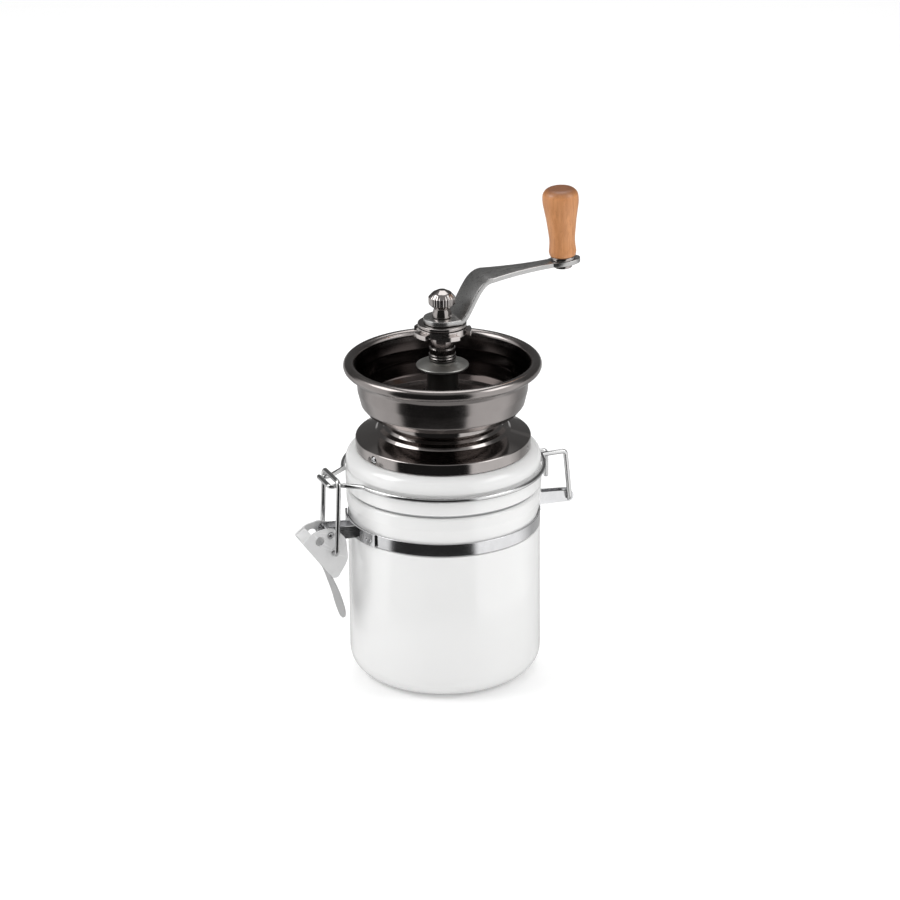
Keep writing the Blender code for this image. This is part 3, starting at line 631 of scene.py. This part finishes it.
def make_lever(looks):
    """Two cheeks and a bridge pressed from one sheet, and the satin thumb tongue."""
    cheek = rounded([
        (-77.2, 80.2, 0.8), (-71.5, 84.6, 5.0), (-62.5, 86.4, 8.0), (-54.6, 79.8, 7.0),
        (-53.6, 68.0, 8.0), (-59.0, 59.2, 2.0), (-61.8, 59.2, 1.0)], 12)
    lever = prism("lever_cheeks", cheek, -6.4, -5.4, "XZ", looks["bright_steel"])
    bridge = [(-61.9, 59.8), (-76.5, 80.2), (-72.0, 83.3), (-71.4, 82.2), (-75.0, 79.9), (-60.9, 60.3)]
    tools = [(prism("far_cheek", cheek, 5.4, 6.4, "XZ"), "UNION"),
             (prism("bridge", bridge, -5.9, 5.9, "XZ"), "UNION"),
             (rod_along_y("pivot_bore", LEVER_CENTRE, 1.8, -8, 8), "DIFFERENCE"),
             (rod_along_y("loop_bore", LOOP_CENTRE, 1.5, -8, 8), "DIFFERENCE"),
             (rod_along_y("open_hole", (-68.2, 79.7), 2.4, -8, 8), "DIFFERENCE")]
    finish_piece(shaped(lever, tools, 0.2), "lever", "latch_lever")
    finish_piece(make_tongue(looks["satin_steel"]), "lever", "latch_lever")


def make_tongue(look):
    """A curved strip that widens, is dished across its width and ends in a half round."""
    length, reach, bend, thickness, stations, across = 28.0, 8.6, 1.35, 1.1, 48, 12
    bm = bmesh.new()
    rows = []
    for i in range(stations + 1):
        t = i / stations
        centre = Vector((-63.1 + reach * math.sin(t * bend), 0, 63.0 - length * t))
        half = 4.9 + 2.6 * min(1.0, 2.5 * t)
        tip = max(0.0, t - 0.72) / 0.28
        half *= math.sqrt(max(0.03, 1 - tip * tip))
        normal = Vector((-length, 0, -reach * bend * math.cos(t * bend))).normalized()
        row = []
        for side, steps in ((0.0, range(across + 1)), (1.0, range(across, -1, -1))):
            for k in steps:
                u = 2 * k / across - 1
                dish = 0.35 * (1 - u * u) * min(1.0, 4 * t)
                swell = 0.5 + 0.5 * math.sqrt(max(0.0, 1 - u ** 8))
                level = thickness / 2 + (side - 0.5) * thickness * swell - dish * 0.6
                row.append(bm.verts.new(centre + normal * level + Vector((0, u * half, 0))))
        rows.append(row)
    loft(bm, rows)
    return mesh_object("lever_tongue", bm, look, 50)


def make_loop(looks):
    """The wire stirrup whose ends hook into the lever's cheeks."""
    x, z = LOOP_CENTRE
    half, hook = 10.4, 4.7
    top_x, top_z = -59.3, 110.8
    corners = [(x, -hook, z), (x, -half, z), (top_x, -half, top_z), (top_x, half, top_z),
               (x, half, z), (x, hook, z)]
    loop = tube("wire_loop", rounded_path(corners, 2.6), WIRE_RADIUS, looks["wire"])
    finish_piece(loop, "loop", "latch_loop")


# ---------------------------------------------------------------- lid

def make_lid(looks):
    recess, plug_inside = LID_TOP - 6.0, PLUG_RADIUS - 4.3
    outline = rounded([
        (LID_RADIUS, LID_BOTTOM, 0.8), (LID_RADIUS, WIRE_LEVEL - 2.0, 0.8),
        (LID_RADIUS - 0.9, WIRE_LEVEL, 1.2), (LID_RADIUS - 0.2, WIRE_LEVEL + 2.2, 1.0),
        (LID_RADIUS - 0.2, LID_TOP, 6.0), (LID_HOLE_RADIUS, LID_TOP), (LID_HOLE_RADIUS, recess),
        (plug_inside, recess, 2.0), (plug_inside, PLUG_BOTTOM, 1.0), (PLUG_RADIUS, PLUG_BOTTOM, 1.0),
        (PLUG_RADIUS, LID_BOTTOM)], 10)
    turned("lid_shell", outline, looks["glaze"], "lid", "ceramic_lid")
    gasket = ring_outline(PLUG_RADIUS + GAP, 46.6, JAR_HEIGHT + GAP, LID_BOTTOM - GAP, 0.35)
    turned("seal_ring", gasket, looks["silicone"], "lid", "lid_gasket")


def ring_arc(start, end):
    """Points of the lid wire's ring between two angles in degrees."""
    steps = max(2, round(abs(end - start) / 2.5))
    return [Vector((x, y, WIRE_LEVEL)) for x, y in arc((0, 0), WIRE_RING_RADIUS, start, end, steps)]


def make_lid_wires(looks):
    """Two wires round the lid: one is bent into the hinge pin, both reach out to the latch's nose."""
    nose_x, arm_y, arm_bend = -62.8, 6.8, -57.5
    hinge_x, hinge_z = HINGE_CENTRE
    leg_y = -8.0
    nose = rounded_path([(nose_x, arm_y + 1.8, WIRE_LEVEL), (nose_x, -arm_y, WIRE_LEVEL),
                         (arm_bend, -arm_y, WIRE_LEVEL), ring_arc(-164.0, -12.0)[0]], 1.9)
    leg = rounded_path([(49.4, leg_y, WIRE_LEVEL), (hinge_x - 2.6, leg_y, WIRE_LEVEL),
                        (hinge_x, leg_y, hinge_z), (hinge_x, 1.6, hinge_z)], 1.9)
    near = nose[:-1] + ring_arc(-164.0, -12.0) + leg
    far_nose = [Vector((x, arm_y, WIRE_LEVEL)) for x in (nose_x + WIRE_RADIUS + GAP, arm_bend)]
    tail_x, tail_y = 54.0, -3.2
    tail = rounded_path([(50.2, tail_y, WIRE_LEVEL), (tail_x, tail_y, WIRE_LEVEL),
                         (tail_x, tail_y, 94.0)], 1.9)
    far = far_nose + ring_arc(164.0, 2.0) + tail
    for name, path, node in (("wire_with_pin", near, "hinge_wire"), ("wire_with_tail", far, "nose_wire")):
        finish_piece(tube(name, path, WIRE_RADIUS, looks["wire"]), "lid", node)


# ---------------------------------------------------------------- mill body

def make_mill_base(looks):
    """The pressed cover on the lid, with its two side screws."""
    wall = 1.0
    inner = FLANGE_RADIUS - wall
    outline = rounded([
        (FLANGE_RADIUS, FLANGE_BOTTOM, 0.2), (FLANGE_RADIUS, 123.9, 1.0), (33.4, 127.2, 0.5),
        (32.2, 128.6, 0.6), (29.6, 129.2, 0.4), (28.6, 130.6, 0.8), (26.8, 131.4, 1.5),
        (26.2, BOWL_BOTTOM - GAP), (25.2, BOWL_BOTTOM - GAP), (25.8, 130.4), (27.6, 129.4), (31.4, 127.2),
        (inner, 122.8), (inner, FLANGE_BOTTOM)])
    cover = mesh_object("mill_cover", spin_mesh(outline), looks["nickel"])
    tools = []
    for side, angle in (("latch", -163.5), ("hinge", 16.5)):
        heading = math.radians(angle)
        out = Vector((math.cos(heading), math.sin(heading), 0))
        centre = Vector((0, 0, 120.7))
        start = centre + out * (inner - 3.0)
        end = centre + out * (FLANGE_RADIUS + 0.5)
        screw = tube("side_screw_" + side, [start, start + out, end], 1.8, looks["steel"], 32)
        slot = [end - out * 0.05 + Vector((0, 0, z)) for z in (-2.8, 0.0, 2.8)]
        screw = shaped(screw, [(tube("screw_slot", slot, 0.32, None, 8), "DIFFERENCE")])
        finish_piece(screw, "lid", "base_screw_" + side)
        bore = tube("bore_" + side, [start, start + out, end + out * 2], 2.1, None, 32)
        tools.append((bore, "DIFFERENCE"))
    finish_piece(shaped(cover, tools), "lid", "mill_base")


def make_bowl(looks):
    """The bean hopper: a waisted bowl with a rolled bead at its rim."""
    bead = arc((BEAD_CENTRE_RADIUS, BEAD_LEVEL), BEAD_RADIUS, -125, 185, 40)
    underside = rounded([(25.4, BOWL_BOTTOM), (37.6, 137.6, 2.0), (40.3, 141.0, 3.0), (42.0, 148.0, 8.0),
                         (42.3, 154.0, 4.0), (44.0, 158.0)], 10, closed=False)
    inside = rounded([(43.0, 159.6), (41.2, 154.0, 4.0), (41.0, 148.0, 8.0), (39.2, 141.6, 3.0),
                      (36.8, 138.7, 1.6), (25.4, 138.4)], 10, closed=False)
    outline = underside[:-1] + bead + inside[1:]
    turned("bean_bowl", outline, looks["bowl"], "lid", "hopper_bowl")


def make_column(looks):
    """The bridge across the hopper's throat with the spindle's upper bearing on top of it."""
    column_top = 159.2
    hub = rounded([(5.2, 139.0), (9.5, 139.0, 0.5), (9.5, 145.5, 1.5), (7.6, 148.0, 2.0), (7.6, column_top),
                   (5.2, column_top)])
    column = mesh_object("bridge_column", spin_mesh(hub, MEDIUM_ROUND), looks["dark_cast"])
    arm = rounded([(6.5, -3.4), (35.0, -3.4, 3.2), (35.0, 3.4, 3.2), (6.5, 3.4)])
    arm_bottom, arm_top = 139.0, 142.4
    tools = []
    for i in range(3):
        heading = 60 + 120 * i
        tools.append((spoke(arm, arm_bottom, arm_top, heading), "UNION"))
        seat = Matrix.Rotation(math.radians(heading), 3, "Z") @ Vector((31.0, 0, arm_top + GAP))
        up = Vector((0, 0, 1.4))
        screw = tube("bridge_screw_head_%d" % i, [seat, seat + up / 2, seat + up], 2.4, looks["steel"], 28)
        finish_piece(screw, "lid", "bridge_screw_%d" % i)
    tools.append((turned_cutter(bore_outline(5.2, 138.0, 162.0), MEDIUM_ROUND), "DIFFERENCE"))
    finish_piece(shaped(column, tools, 0.3), "lid", "bearing_column")
    turned("upper_bearing", ring_outline(3.2, 4.9, 139.0, column_top), looks["bronze"], "lid",
           "upper_bush", MEDIUM_ROUND)
    cap = rounded([(3.6, 159.5), (13.0, 159.5, 0.5), (13.0, 160.6, 0.6), (7.6, 162.9, 1.0), (3.6, 163.2)])
    turned("domed_cap", cap, looks["cap"], "lid", "column_cap", MEDIUM_ROUND)
    sleeve = rounded([(3.6, 163.5), (6.7, 163.5, 0.3), (6.7, 164.8, 0.25), (6.4, 165.1, 0.15),
                      (6.7, 165.4, 0.25), (6.7, 166.2, 0.3), (6.3, 166.5, 0.2), (6.3, 169.4, 0.3),
                      (5.9, 169.8, 0.2), (5.9, 176.0, 0.6), (3.6, 176.0)], 5)
    turned("stepped_sleeve", sleeve, looks["nickel"], "lid", "shaft_sleeve",
           MEDIUM_ROUND)


def make_housing(looks):
    """The burr housing that hangs through the lid, its nut, the fixed burr and the lower bearing."""
    housing = rounded([(HOUSING_RADIUS, 99.0, 0.5), (HOUSING_RADIUS, FLANGE_BOTTOM, 0.2),
                       (31.0, FLANGE_BOTTOM, 0.3), (31.0, 120.6, 0.4), (20.4, 120.6, 0.3), (20.4, 100.6),
                       (18.6, 100.6), (18.6, 99.0, 0.3)], 4)
    turned("mill_housing", housing, looks["aluminium"], "lid", "burr_housing",
           MEDIUM_ROUND)
    make_clamp_nut(looks)
    turned("retaining_ring", ring_outline(15.6, 20.1, 115.2, 118.4), looks["aluminium"], "lid",
           "burr_retainer", MEDIUM_ROUND)
    burr = toothed_ring("fixed_burr", 20.1, (16.6, 13.2), (BURR_BOTTOM, 114.9), -0.8, looks["ceramic"])
    finish_piece(burr, "lid", "outer_burr")
    rim = spin_mesh(ring_outline(18.6, HOUSING_RADIUS, 95.8, 98.7, 0.3), MEDIUM_ROUND)
    bridge = mesh_object("bearing_bridge", rim, looks["aluminium"])
    tools = [(turned_cutter(bore_outline(6.6, 91.8, 98.5), MEDIUM_ROUND), "UNION")]
    arm = [(3.0, -2.2), (20.0, -2.2), (20.0, 2.2), (3.0, 2.2)]
    for i in range(3):
        tools.append((spoke(arm, 95.9, 98.4, 120 * i), "UNION"))
    tools.append((turned_cutter(bore_outline(4.7, 90.0, 100.0), MEDIUM_ROUND), "DIFFERENCE"))
    finish_piece(shaped(bridge, tools, 0.25), "lid", "lower_bridge")
    turned("lower_bearing", ring_outline(3.2, 4.4, 91.8, 98.5), looks["bronze"], "lid",
           "lower_bush", MEDIUM_ROUND)


def make_clamp_nut(looks):
    """The notched ring nut that holds the housing to the lid."""
    top = LID_TOP - 6.0 - GAP
    nut = prism("ring_nut", arc((0, 0), 32.0, 0, 357.5, 143), top - 4.4, top, "XY", looks["aluminium"])
    cut_low, cut_high = top - 6, top + 2
    bore = bore_outline(HOUSING_RADIUS + GAP, cut_low, cut_high)
    tools = [(turned_cutter(bore, MEDIUM_ROUND), "DIFFERENCE")]
    notch = [(29.6, -2.0), (34.0, -2.0), (34.0, 2.0), (29.6, 2.0)]
    for k in range(6):
        tools.append((spoke(notch, cut_low, cut_high, 60 * k), "DIFFERENCE"))
    finish_piece(shaped(nut, tools, 0.3), "lid", "clamp_nut")


def toothed_ring(name, plain_radius, cone, levels, tooth, look):
    """A burr: one plain round wall and one conical wall with slanting teeth.

    cone is the toothed wall's radius at the bottom and top, and tooth is how far
    the teeth stand off it: outward when positive, inward when negative.
    """
    teeth, per_tooth, rows, twist = 16, 9, 16, math.radians(24)
    count = teeth * per_tooth
    profile = [min(k / 3, (per_tooth - k) / 6, 1.0) for k in range(per_tooth)]
    bm = bmesh.new()
    toothed, plain = [], []
    for row in range(rows):
        t = row / (rows - 1)
        z = levels[0] + (levels[1] - levels[0]) * t
        radius = cone[0] + (cone[1] - cone[0]) * t
        ring, wall = [], []
        for k in range(count):
            angle = 2 * math.pi * k / count + twist * t
            r = radius + tooth * profile[k % per_tooth]
            ring.append(bm.verts.new((r * math.cos(angle), r * math.sin(angle), z)))
            wall.append((plain_radius * math.cos(angle), plain_radius * math.sin(angle), z))
        toothed.append(ring)
        if row in (0, rows - 1):
            plain.append([bm.verts.new(corner) for corner in wall])
    loops = [plain[0]] + toothed + [plain[1]]
    for low, high in zip(loops, loops[1:] + loops[:1]):
        for k in range(count):
            after = (k + 1) % count
            if low is plain[1]:
                bm.faces.new((low[k], low[after], high[after], high[k]))
            else:
                bm.faces.new((low[k], high[k], high[after], low[after]))
    return mesh_object(name, bm, look, 25)


# ---------------------------------------------------------------- turning parts

def make_spindle(looks):
    foot, head = 86.6, 192.4
    outline = rounded([(0.0, foot), (SPINDLE_RADIUS, foot, 0.4), (SPINDLE_RADIUS, head, 0.4), (0.0, head)], 4)
    turned("drive_spindle", outline, looks["steel"], "crank", "spindle", SMALL_ROUND)
    nut = prism("lower_nut", arc((0, 0), 5.6, 0, 300, 5), 88.0, 91.4, "XY", looks["steel"])
    bore = turned_cutter(bore_outline(SPINDLE_BORE, 80.0, 100.0))
    finish_piece(shaped(nut, [(bore, "DIFFERENCE")], 0.25), "crank", "spindle_nut")
    turns, coil_radius, low, high, per_turn = 7, 5.0, 120.0, 137.4, 32
    steps = per_turn * turns
    coil = []
    for k in range(steps + 1):
        angle = 2 * math.pi * k / per_turn
        level = low + (high - low) * k / steps
        coil.append(Vector((coil_radius * math.cos(angle), coil_radius * math.sin(angle), level)))
    finish_piece(tube("feed_spring", coil, 0.5, looks["wire"], 12), "crank", "burr_spring")


def make_adjuster(looks):
    """The grind setting wheel: a thick disc with five lugs standing out of its foot."""
    disc = rounded([(SPINDLE_BORE, 176.9), (12.0, 176.9), (12.0, 180.3), (SPINDLE_BORE, 180.3)])
    wheel = mesh_object("setting_wheel", spin_mesh(disc, 120), looks["nickel"])
    lugs, half_angle = 5, 19
    tools = []
    for i in range(lugs):
        middle = 360 / lugs * i - 22
        low, high = middle - half_angle, middle + half_angle
        block = arc((0, 0), 14.4, low, high, 14) + arc((0, 0), 11.5, high, low, 14)
        tools.append((prism("lug", block, 176.6, 178.8), "UNION"))
    finish_piece(shaped(wheel, tools, 0.3), "adjuster", "grind_adjuster")


def crank_half_width(x):
    """Half the arm's width: round hub, wide rise, long taper, oval pad."""
    if x < 0:
        return math.sqrt(max(CRANK_HUB_RADIUS ** 2 - x * x, 1.0))
    taper = min(1.0, max(0.0, (x - 24.0) / 30))
    arm = 3.9 + (CRANK_HUB_RADIUS - 4.0) * (1 - taper) ** 1.8
    from_pad = (x - CRANK_REACH) / PAD_HALF_LENGTH
    pad = PAD_HALF_WIDTH * math.sqrt(max(1 - from_pad * from_pad, 0.0))
    return max(arm if from_pad < 0 else 1.0, pad)


def crank_height(x):
    """Height of the arm's underside: flat hub, a rise that rounds off slowly, and a gently rising run."""
    blend = min(1.0, max(0.0, (x - CRANK_RISE_START) / (CRANK_RISE_END - CRANK_RISE_START)))
    ease = 1 - (1 - blend ** 1.9) ** 3.4
    run = (x - CRANK_RISE_END) * math.tan(CRANK_TILT)
    return CRANK_HUB_LEVEL + (CRANK_ARM_LEVEL - CRANK_HUB_LEVEL + run) * ease


def crank_stations():
    """Places along X where the arm gets a cross section."""
    hub = [-CRANK_HUB_RADIUS * math.cos(math.radians(a)) for a in range(5, 91, 5)]
    rise = [CRANK_RISE_START + (CRANK_RISE_END - CRANK_RISE_START) * k / 48 for k in range(49)]
    run = [CRANK_RISE_END + 1.05 * k for k in range(1, 30)]
    pad = [CRANK_REACH - PAD_HALF_LENGTH * math.cos(math.radians(a)) for a in range(24, 176, 4)]
    return hub + [2.5, 5.0] + rise + run + pad


def make_crank_arm(looks):
    """The arm as a run of cross sections with eased corners."""
    ease, corner_steps = 0.4, 4
    bm = bmesh.new()
    rows = []
    for x in crank_stations():
        slope = math.atan((crank_height(x + 0.2) - crank_height(x - 0.2)) / 0.4)
        up = Vector((-math.sin(slope), 0, math.cos(slope)))
        half = crank_half_width(x)
        section = rounded([(-half, 0, ease), (half, 0, ease), (half, CRANK_THICKNESS, ease),
                           (-half, CRANK_THICKNESS, ease)], corner_steps)
        base = Vector((x, 0, crank_height(x)))
        rows.append([bm.verts.new(base + Vector((0, across, 0)) + up * level) for across, level in section])
    loft(bm, rows)
    arm = mesh_object("crank_lever", bm, looks["arm"], 40)
    bore = turned_cutter(bore_outline(SPINDLE_BORE, 180.0, 190.0))
    pad_bore = stand_on_pad(turned_cutter(bore_outline(GRIP_BORE, -8.0, 8.0)))
    arm = shaped(arm, [(bore, "DIFFERENCE"), (pad_bore, "DIFFERENCE")], 0.0, 40)
    finish_piece(arm, "crank", "crank_arm")


def stand_on_pad(obj):
    """Move a piece turned about Z so that it stands square on the crank's pad."""
    top = Vector((CRANK_REACH, 0, crank_height(CRANK_REACH) + CRANK_THICKNESS)) * MM
    obj.data.transform(Matrix.Translation(top) @ Matrix.Rotation(-CRANK_TILT, 4, "Y"))
    return obj


def make_crank_hub(looks):
    washer = ring_outline(SPINDLE_BORE, 12.0, 180.6, CRANK_HUB_LEVEL - GAP, 0.35)
    turned("hub_washer", washer, looks["nickel"], "crank", "lock_washer", MEDIUM_ROUND)
    seat = CRANK_HUB_LEVEL + CRANK_THICKNESS + GAP
    knurl_low, knurl_high, knurls, knurl_depth = 191.9, 195.3, 30, 0.2
    cap = rounded([(0.0, 192.8), (SPINDLE_BORE, 192.8), (SPINDLE_BORE, seat), (4.9, seat, 0.4),
                   (4.6, 187.6, 1.0), (3.9, 189.6, 1.0), (6.5, knurl_low, 0.3), (6.65, knurl_high, 0.35),
                   (4.6, 197.6, 3.0), (1.8, 199.0, 2.0), (0.0, 199.2)], 8)
    bm = spin_mesh(cap, knurls * 8)
    for vert in bm.verts:
        radius = math.hypot(vert.co.x, vert.co.y)
        if radius < 6.0 or not knurl_low - 0.3 < vert.co.z < knurl_high + 0.2:
            continue
        cut = knurl_depth * (0.5 - 0.5 * math.cos(knurls * math.atan2(vert.co.y, vert.co.x)))
        vert.co.x *= 1 - cut / radius
        vert.co.y *= 1 - cut / radius
    finish_piece(mesh_object("knurled_nut", bm, looks["nickel"]), "crank", "cap_nut")


def make_grip(looks):
    """The turned wooden grip, and the shouldered bolt that it spins on."""
    shape = rounded([(0.0, GRIP_TOP - 3.0), (GRIP_BORE, GRIP_TOP - 3.0), (GRIP_BORE, GRIP_BASE),
                     (6.4, GRIP_BASE, 0.6), (6.8, 4.1, 1.0), (6.2, 9.6, 24.0), (7.4, 20.1, 40.0),
                     (9.0, 29.6, 18.0), (8.7, GRIP_TOP, 4.4), (0.0, GRIP_TOP + 0.2)], 12)
    grip = stand_on_pad(mesh_object("turned_grip", spin_mesh(shape, MEDIUM_ROUND), looks["wood"]))
    finish_piece(grip, "grip", "wood_grip")
    below = -CRANK_THICKNESS - GAP
    end = GRIP_TOP - 4.0
    bolt = rounded([(0.0, below - 1.8), (4.4, below - 1.4, 0.3), (4.4, below, 0.2), (2.4, below), (2.4, GAP),
                    (6.0, GAP, 0.3), (6.0, GRIP_BASE - GAP, 0.3), (2.4, GRIP_BASE - GAP), (2.4, end, 0.3),
                    (0.0, end)], 4)
    bolt = stand_on_pad(mesh_object("grip_pin", spin_mesh(bolt, MEDIUM_ROUND), looks["nickel"]))
    finish_piece(bolt, "crank", "grip_bolt")


# ---------------------------------------------------------------- studio

RIGHT = Vector((math.cos(CAMERA_AZIMUTH), math.sin(CAMERA_AZIMUTH), 0))
FRONT = Vector((math.sin(CAMERA_AZIMUTH), -math.cos(CAMERA_AZIMUTH), 0))

# Brightness round the object as mirrors see it, by angle in degrees from the front to the right
WALL_RING = ((-180, 0.10), (-122, 0.10), (-108, 0.85), (-66, 0.85), (-56, 0.02), (30, 0.02),
             (37, 1.0), (88, 1.0), (104, 0.10), (180, 0.10))
FLOOR_RING = ((-180, 0.42), (-130, 0.42), (-112, 0.85), (-64, 0.85), (-58, 0.02), (31, 0.02),
              (36, 1.0), (92, 1.0), (116, 0.42), (180, 0.42))


def ring_light(tree, vector, ring):
    """Nodes that give a ring's brightness for the heading of a vector."""
    sides = [add_node(tree, "ShaderNodeVectorMath", {0: vector, 1: axis}, operation="DOT_PRODUCT")
             for axis in (RIGHT, FRONT)]
    inputs = {index: side.outputs["Value"] for index, side in enumerate(sides)}
    heading = add_node(tree, "ShaderNodeMath", inputs, operation="ARCTAN2").outputs["Value"]
    inputs = {"Value": heading, "From Min": -math.pi, "From Max": math.pi}
    turn = add_node(tree, "ShaderNodeMapRange", inputs).outputs["Result"]
    ramp = add_node(tree, "ShaderNodeValToRGB", {"Fac": turn})
    stops = ramp.color_ramp.elements
    while len(stops) > 1:
        stops.remove(stops[-1])
    for k, (angle, level) in enumerate(ring):
        position = (angle + 180) / 360
        stop = stops[0] if k == 0 else stops.new(position)
        stop.position = position
        stop.color = (*grey(level), 1.0)
    return ramp.outputs["Color"]


def choose(tree, factor, first, second):
    """The second shader where the factor is 1, and the first one elsewhere."""
    return add_node(tree, "ShaderNodeMixShader", {0: factor, 1: first, 2: second}).outputs["Shader"]


def make_world():
    """White to the camera, even to matt surfaces, and a studio with softboxes to mirrors."""
    world = bpy.data.worlds.new("studio")
    bpy.context.scene.world = world
    world.use_nodes = True
    tree = world.node_tree
    tree.nodes.clear()
    path = add_node(tree, "ShaderNodeLightPath").outputs
    direction = add_node(tree, "ShaderNodeTexCoord").outputs["Generated"]
    rise = add_node(tree, "ShaderNodeSeparateXYZ", {"Vector": direction}).outputs["Z"]
    inputs = {"Value": rise, "From Min": OVERHEAD_START, "From Max": OVERHEAD_FULL}
    overhead = add_node(tree, "ShaderNodeMapRange", inputs).outputs["Result"]
    dome = add_mix(tree, overhead, ring_light(tree, direction, WALL_RING), grey(OVERHEAD_LIGHT))

    def background(strength, colour=(1.0, 1.0, 1.0, 1.0)):
        made = add_node(tree, "ShaderNodeBackground", {"Color": colour, "Strength": strength})
        return made.outputs["Background"]

    matt = choose(tree, path["Is Glossy Ray"], background(AMBIENT), background(MIRROR_LIGHT, dome))
    seen = choose(tree, path["Is Camera Ray"], matt, background(1.0))
    add_node(tree, "ShaderNodeOutputWorld", {"Surface": seen})


def make_floor():
    """A plain white sweep that mirrors see as part of the studio."""
    bm = bmesh.new()
    bmesh.ops.create_grid(bm, x_segments=24, y_segments=24, size=FLOOR_RADIUS / MM)
    floor = mesh_object("floor", bm)
    floor.location.z = -FLOOR_DROP
    material = bpy.data.materials.new("floor")
    material.use_nodes = True
    tree = material.node_tree
    tree.nodes.clear()
    matt = add_node(tree, "ShaderNodeBsdfDiffuse", {"Color": (0.93, 0.93, 0.93, 1.0)}).outputs["BSDF"]
    inputs = {"Color": (1.0, 1.0, 1.0, 1.0), "Strength": FLOOR_GLOW}
    glow = add_node(tree, "ShaderNodeEmission", inputs).outputs["Emission"]
    plain = add_node(tree, "ShaderNodeAddShader", {0: matt, 1: glow}).outputs["Shader"]
    place = add_node(tree, "ShaderNodeTexCoord").outputs["Object"]
    reach = add_node(tree, "ShaderNodeVectorMath", {0: place}, operation="LENGTH").outputs["Value"]
    inputs = {"Value": reach, "From Min": FLOOR_NEAR, "From Max": FLOOR_NEAR + FLOOR_BLEND}
    away = add_node(tree, "ShaderNodeMapRange", inputs).outputs["Result"]
    level = add_mix(tree, away, grey(FLOOR_NEAR_LIGHT), ring_light(tree, place, FLOOR_RING))
    mirrored = add_node(tree, "ShaderNodeEmission", {"Color": level, "Strength": MIRROR_LIGHT})
    path = add_node(tree, "ShaderNodeLightPath").outputs
    seen = choose(tree, path["Is Glossy Ray"], plain, mirrored.outputs["Emission"])
    add_node(tree, "ShaderNodeOutputMaterial", {"Surface": seen})
    floor.data.materials.append(material)


def area_light(name, heading, elevation, distance, size, power):
    """A square softbox that faces the object, placed by its angle from the front."""
    turn = math.radians(heading)
    rise = math.radians(elevation)
    level = FRONT * math.cos(turn) + RIGHT * math.sin(turn)
    target = Vector((0, 0, 0.12))
    light = bpy.data.lights.new(name, "AREA")
    light.shape = "SQUARE"
    light.size = size
    light.energy = power
    obj = bpy.data.objects.new(name, light)
    obj.location = target + (level * math.cos(rise) + Vector((0, 0, math.sin(rise)))) * distance
    obj.rotation_euler = (target - obj.location).to_track_quat("-Z", "Y").to_euler()
    bpy.context.scene.collection.objects.link(obj)


def make_lights():
    area_light("softbox_left", -82.0, 42.0, 1.5, 0.8, 7.0)
    area_light("softbox_right", 72.0, 38.0, 1.6, 0.8, 5.0)
    area_light("softbox_top", 170.0, 70.0, 1.6, 1.1, 8.0)


def make_camera():
    away = FRONT * math.cos(CAMERA_ELEVATION) + Vector((0, 0, math.sin(CAMERA_ELEVATION)))
    camera = bpy.data.cameras.new("camera")
    camera.lens = CAMERA_LENS
    camera.shift_x, camera.shift_y = CAMERA_SHIFT
    camera.clip_start = 0.05
    obj = bpy.data.objects.new("camera", camera)
    obj.location = CAMERA_TARGET + away * CAMERA_DISTANCE
    facing = (-away).to_track_quat("-Z", "Y").to_matrix() @ Matrix.Rotation(CAMERA_ROLL, 3, "Z")
    obj.rotation_euler = facing.to_euler()
    bpy.context.scene.collection.objects.link(obj)
    bpy.context.scene.camera = obj


def set_view():
    view = bpy.context.scene.view_settings
    view.view_transform = "Standard"
    view.look = "None"
    view.exposure = 0.0
    view.gamma = 1.0


# ---------------------------------------------------------------- assembly

def all_looks():
    return {
        "glaze": glaze_look(),
        "steel": steel_look("polished_steel", (0.70, 0.70, 0.71), 0.10, 0.22, (300.0, 300.0, 2600.0)),
        "bright_steel": sheet_look("lever_steel", (0.86, 0.86, 0.86), 0.30, 0.32),
        "satin_steel": sheet_look("tongue_steel", (0.50, 0.50, 0.50), 0.45, 0.45),
        "wire": steel_look("wire_steel", (0.66, 0.66, 0.66), 0.12, 0.24, (500.0, 500.0, 500.0)),
        "nickel": nickel_look("black_nickel", (0.36, 0.335, 0.325), 0.07, 0.15, 0.000004),
        "bowl": bowl_look(),
        "cap": nickel_look("cap_nickel", (0.42, 0.42, 0.40), 0.30, 0.42, 0.00001),
        "dark_cast": cast_look("dark_casting", (0.10, 0.095, 0.09), 0.42, 1.0, 900.0),
        "arm": satin_arm_look(),
        "wood": wood_look(),
        "aluminium": cast_look("cast_aluminium", (0.55, 0.56, 0.57), 0.38, 1.0, 700.0),
        "ceramic": cast_look("burr_ceramic", (0.82, 0.80, 0.76), 0.5, 0.0, 1400.0),
        "bronze": cast_look("bronze", (0.55, 0.36, 0.17), 0.34, 1.0, 1200.0),
        "silicone": cast_look("silicone", (0.50, 0.51, 0.52), 0.55, 0.0, 800.0),
    }


def build():
    looks = all_looks()
    for make in (make_jar, make_latch_bracket, make_hinge_bracket, make_lever, make_loop, make_lid,
                 make_lid_wires, make_mill_base, make_bowl, make_column, make_housing, make_spindle,
                 make_adjuster, make_crank_arm, make_crank_hub, make_grip):
        make(looks)
    burr = toothed_ring("cone_burr", SPINDLE_BORE, (14.4, 7.0), (BURR_BOTTOM - 0.6, 116.4), 0.8,
                        looks["ceramic"])
    finish_piece(burr, "burr", "inner_burr")
    make_world()
    make_floor()
    make_lights()
    make_camera()
    set_view()


build()
